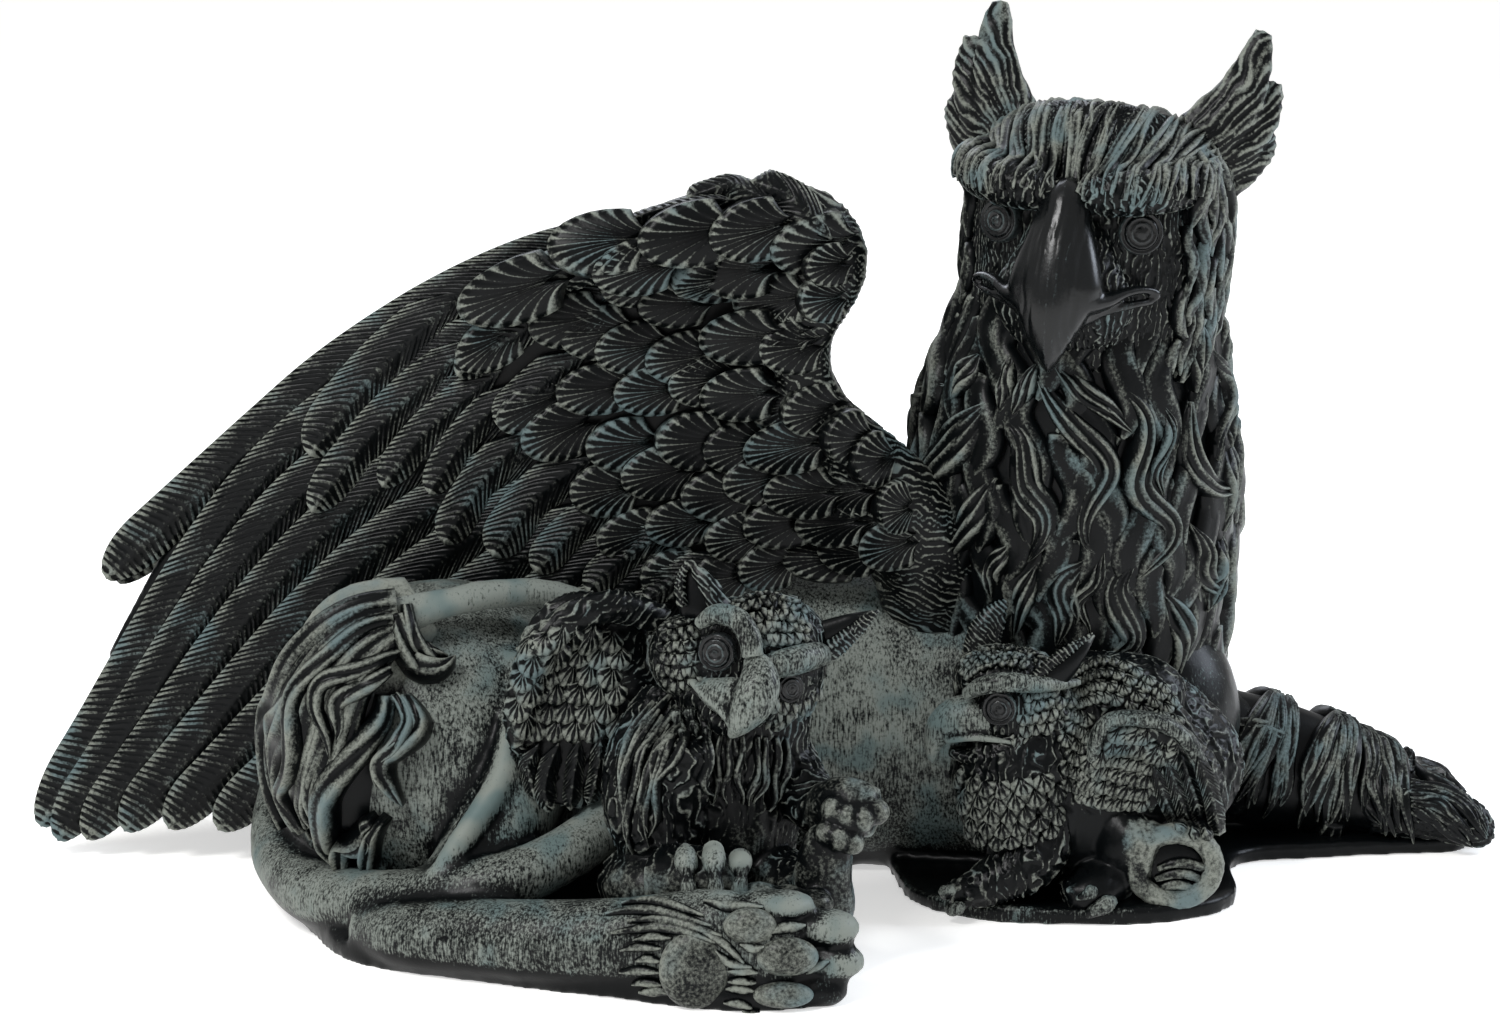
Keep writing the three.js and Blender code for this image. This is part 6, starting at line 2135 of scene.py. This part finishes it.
@dataclass
class CrouchingCub:
    """The cub that crouches before the griffin's breast, seen from its side."""

    name: str = "crouching_cub"
    # The scales of its breast, cheek and back, and the small feathers of its wing.
    feathers: tuple[Patch, ...] = (
        Patch((960, 780, 1000, 792, 1062, 782), (966, 846, 1010, 856, 1062, 842), 5, 6, 18, 19, (76, 88)),
        Patch((1070, 676, 1112, 662, 1172, 696), (1078, 716, 1112, 710, 1186, 732), 4, 10, 13, 13, (80, 60)),
        Patch((1112, 736, 1144, 736, 1182, 752), (1066, 806, 1100, 816, 1136, 816), 6, 7, 18, 17, (124, 116)),
        Patch((1064, 712, 1078, 718, 1094, 726), (1058, 796, 1072, 800, 1088, 804), 6, 3, 15, 15, (100, 100)),
    )
    quills: tuple[Stroke, ...] = ((9, 1196, 754, 1210, 790, 1218, 832),
        (9, 1180, 752, 1194, 794, 1206, 836), (9, 1166, 756, 1180, 798, 1194, 834),
        (8, 1152, 762, 1166, 800, 1180, 828))
    talons: tuple[Stroke, ...] = ((7, 948, 872, 926, 884), (8, 956, 890, 928, 902), (7, 964, 902, 938, 912),
        (9, 1112, 898, 1080, 914), (7, 1096, 890, 1078, 898))
    # The smooth rim of its wing.
    rim: Sighted = ((1092, 760, -17.0, 0.4, 0.5), (1096, 738, -17.6, 0.5, 0.6),
        (1111, 720, -17.9, 0.52, 0.7), (1144, 719, -18, 0.56, 0.75), (1174, 729, -17.7, 0.6, 0.75),
        (1195, 754, -17.2, 0.58, 0.7), (1209, 788, -16.7, 0.52, 0.6), (1219, 824, -16.3, 0.3, 0.4))
    # The lines in the tuft inside the tail's ring.
    curls: tuple[Pixels, ...] = ((1158, 868, 1176, 862, 1200, 866, 1212, 880),
        (1156, 878, 1176, 872, 1196, 876, 1208, 890), (1156, 888, 1174, 882, 1192, 886, 1204, 898))

    def trunk(self) -> list[Form]:
        """Its body and limbs without their feathers."""
        body = loft([[15, -11.6, 6, 3, 3], [19, -11.6, 8, 5, 7.4], [24, -11.4, 8.6, 5.2, 8.6],
            [28.4, -11, 7.4, 4.6, 6.8], [30.8, -10.8, 5, 2.6, 3.6]])
        breast = loft([[20, -13, 13.4, 3.6, 3.6], [18, -14.4, 9.4, 4.2, 4], [18, -14.6, 4.6, 3, 3]],
            facing=NEAR)
        front_leg = loft([[19.6, -14.6, 7, 3, 2.8], [18.4, -16.2, 4, 2.6, 2.2], [15.8, -17, 2.4, 1.6, 1.4],
            [13.4, -17.2, 1.7, 1, 0.8]])
        hind_foot = loft([[24.6, -15, 2.6, 2, 1.8], [22.8, -16.8, 2, 1.9, 1.5], [21.2, -17.2, 1.7, 1, 0.9]])
        tail_root = loft([[24, -13, 5.8, 2.2, 2.2], [25.2, -15.6, 5, 1.9, 2.4], [27.4, -16.6, 4.4, 1.5, 2]])
        angles = np.linspace(0, 2 * math.pi, 13)
        ring = loft([[28.5 + 2.7 * math.cos(a), -17, 3.7 + 2.3 * math.sin(a), 0.72] for a in angles],
            facing=NEAR)
        hump = ball([25.4, -12.4, 14.6], [4.2, 3.8, 2.6])
        return [body, breast, front_leg, hind_foot, tail_root, ring, hump]

    def wing(self) -> list[Form]:
        """The small wing at its side: a rim about a shallow hollow."""
        shell = loft([[24.4, -14.4, 11.8, 2.8, 1.2], [26.6, -15.2, 10.6, 4.4, 1.6],
            [29.6, -15, 8.6, 2.6, 1.4], [31, -14.6, 6.2, 1.4, 0.8]], facing=NEAR)
        rim = loft([[22.8, -16, 9.6, 0.5], [23, -16.4, 11.4, 0.8], [24.2, -16.9, 13, 0.9],
            [27.2, -17, 13, 0.95], [29.6, -16.6, 11.4, 0.95], [31, -16, 8.4, 0.8],
            [31.6, -15.6, 5.6, 0.5]], facing=NEAR)
        return [shell, rim]

    def build(self, shop: Workshop) -> bpy.types.Object:
        """The finished cub."""
        base = fuse([*self.trunk(), *self.wing()], 0.18, smoothing=3)
        x, y, z = base.points.T
        ring = smoothly(x, 24.6, 25.6) * smoothly(-y, 15, 15.8) * (1 - smoothly(z, 6.6, 7.6))
        bare = np.maximum(ring, smoothly(x, 21, 22) * (1 - smoothly(z, 6.5, 8)))
        base.tone = 0.85 * ring - 0.15
        hair = strands(base.points, around(base.points, 19.4, -11.5, 4), 0.42, 1.5, 1.3, 3)
        fur = combed(base, hair, 0.26, 1 - 0.85 * bare)
        ground = Ground(base)
        feathers = [patched(shop, ground, self.feathers, seed=71)]
        feathers += quilled(ground, self.quills, 0.34, 0.4, 90)
        claws = clawed(ground, self.talons, CLAW, 0.3)
        core = ball([28.5, -16.2, 3.7], [2.6, 0.9, 2.2])
        tuft = [traced(Ground(core), line, Lock(half=0.4, rise=0.5, grooves=2, sides=12, steps=18),
            seed=k) for k, line in enumerate(self.curls)]
        rim = fuse([loft(sighted(self.rim), facing=NEAR, steps=60)], 0.13)
        return shop.piece(self.name, [(join([fur, *feathers, core, *tuft]), Skin.FEATHER),
            (join(claws).toned(-0.7), Skin.HIDE), (rim.toned(-0.2), Skin.HIDE),
            *CROUCHING_CUB_HEAD.build(shop)])


@dataclass(frozen=True)
class Studio:
    """A pale floor and soft lamps, as for a catalogue picture."""

    floor_colour: str = "#f4f3f0"
    key: float = 10.5
    rim: float = 5.0
    sky: float = 0.56
    glow: float = 0.5
    # Half the floor's side and the height that the lamps look at, in metres.
    reach: float = 12.0
    aim: float = 0.06

    def floor(self) -> None:
        """A wide pale floor at the statue's underside."""
        mesh = bpy.data.meshes.new("floor")
        ends = ((-1, -1), (1, -1), (1, 1), (-1, 1))
        mesh.from_pydata([(self.reach * x, self.reach * y, 0) for x, y in ends], [], [(0, 1, 2, 3)])
        paper = bpy.data.materials.new("matt_paper")
        paper.use_nodes = True
        shader = paper.node_tree.nodes["Principled BSDF"]
        shader.inputs["Base Color"].default_value = linear(self.floor_colour)
        shader.inputs["Roughness"].default_value = 0.9
        shader.inputs["Emission Color"].default_value = linear("#ffffff")
        shader.inputs["Emission Strength"].default_value = self.glow
        mesh.materials.append(paper)
        placed("floor", mesh)

    def lamp(self, name: str, place: Sequence[float], power: float, size: float,
            colour: str = "#ffffff") -> None:
        """A soft square lamp that looks at the statue.

        Args:
            name: Its name.
            place: Where it stands, in metres.
            power: Its power in watts.
            size: Its side in metres.
            colour: Its light's colour.
        """
        lamp = bpy.data.lights.new(name, "AREA")
        lamp.energy = power
        lamp.size = size
        lamp.color = linear(colour)[:3]
        item = placed(name, lamp)
        item.location = place
        item.rotation_euler = (Vector((0, 0, self.aim)) - Vector(place)).to_track_quat("-Z", "Y").to_euler()

    def camera(self) -> None:
        """The photograph's camera."""
        camera = bpy.data.cameras.new("camera")
        camera.lens = VIEW.lens()
        camera.sensor_width = VIEW.sensor
        camera.clip_start = 0.01
        camera.clip_end = 50
        item = placed("camera", camera)
        item.location = (np.array(VIEW.place) - BOX_MIDDLE) * SQUARE
        item.rotation_euler = (math.pi / 2 - VIEW.pitch_down, 0, 0)
        bpy.context.scene.camera = item

    def build(self) -> None:
        """Floor, lamps, sky and camera."""
        self.floor()
        self.lamp("key", (-0.55, -0.7, 0.95), self.key, 0.35)
        self.lamp("rim", (0.75, 0.1, 0.45), self.rim, 0.4, "#e6f0ff")
        self.lamp("back", (-0.2, 0.8, 0.7), self.rim, 0.6, "#eef4ff")
        world = bpy.data.worlds.new("white_room")
        world.use_nodes = True
        world.node_tree.nodes["Background"].inputs["Color"].default_value = linear("#ffffff")
        bpy.context.scene.view_settings.view_transform = "Standard"
        world.node_tree.nodes["Background"].inputs["Strength"].default_value = self.sky
        bpy.context.scene.world = world
        self.camera()


def main() -> None:
    """Builds the statue's pieces in order, then the studio."""
    logging.basicConfig(level=logging.INFO, format="%(name)s %(message)s")
    shop = Workshop()
    figures = (Body(), Wing("near_wing"), FarWing("far_wing"), GriffinHead(), Mane(), TailTuft(), Foreleg(),
        SittingCub(), CrouchingCub())
    for sculpted in figures:
        sculpted.build(shop)
    Studio().build()


if __name__ == "__main__":
    main()
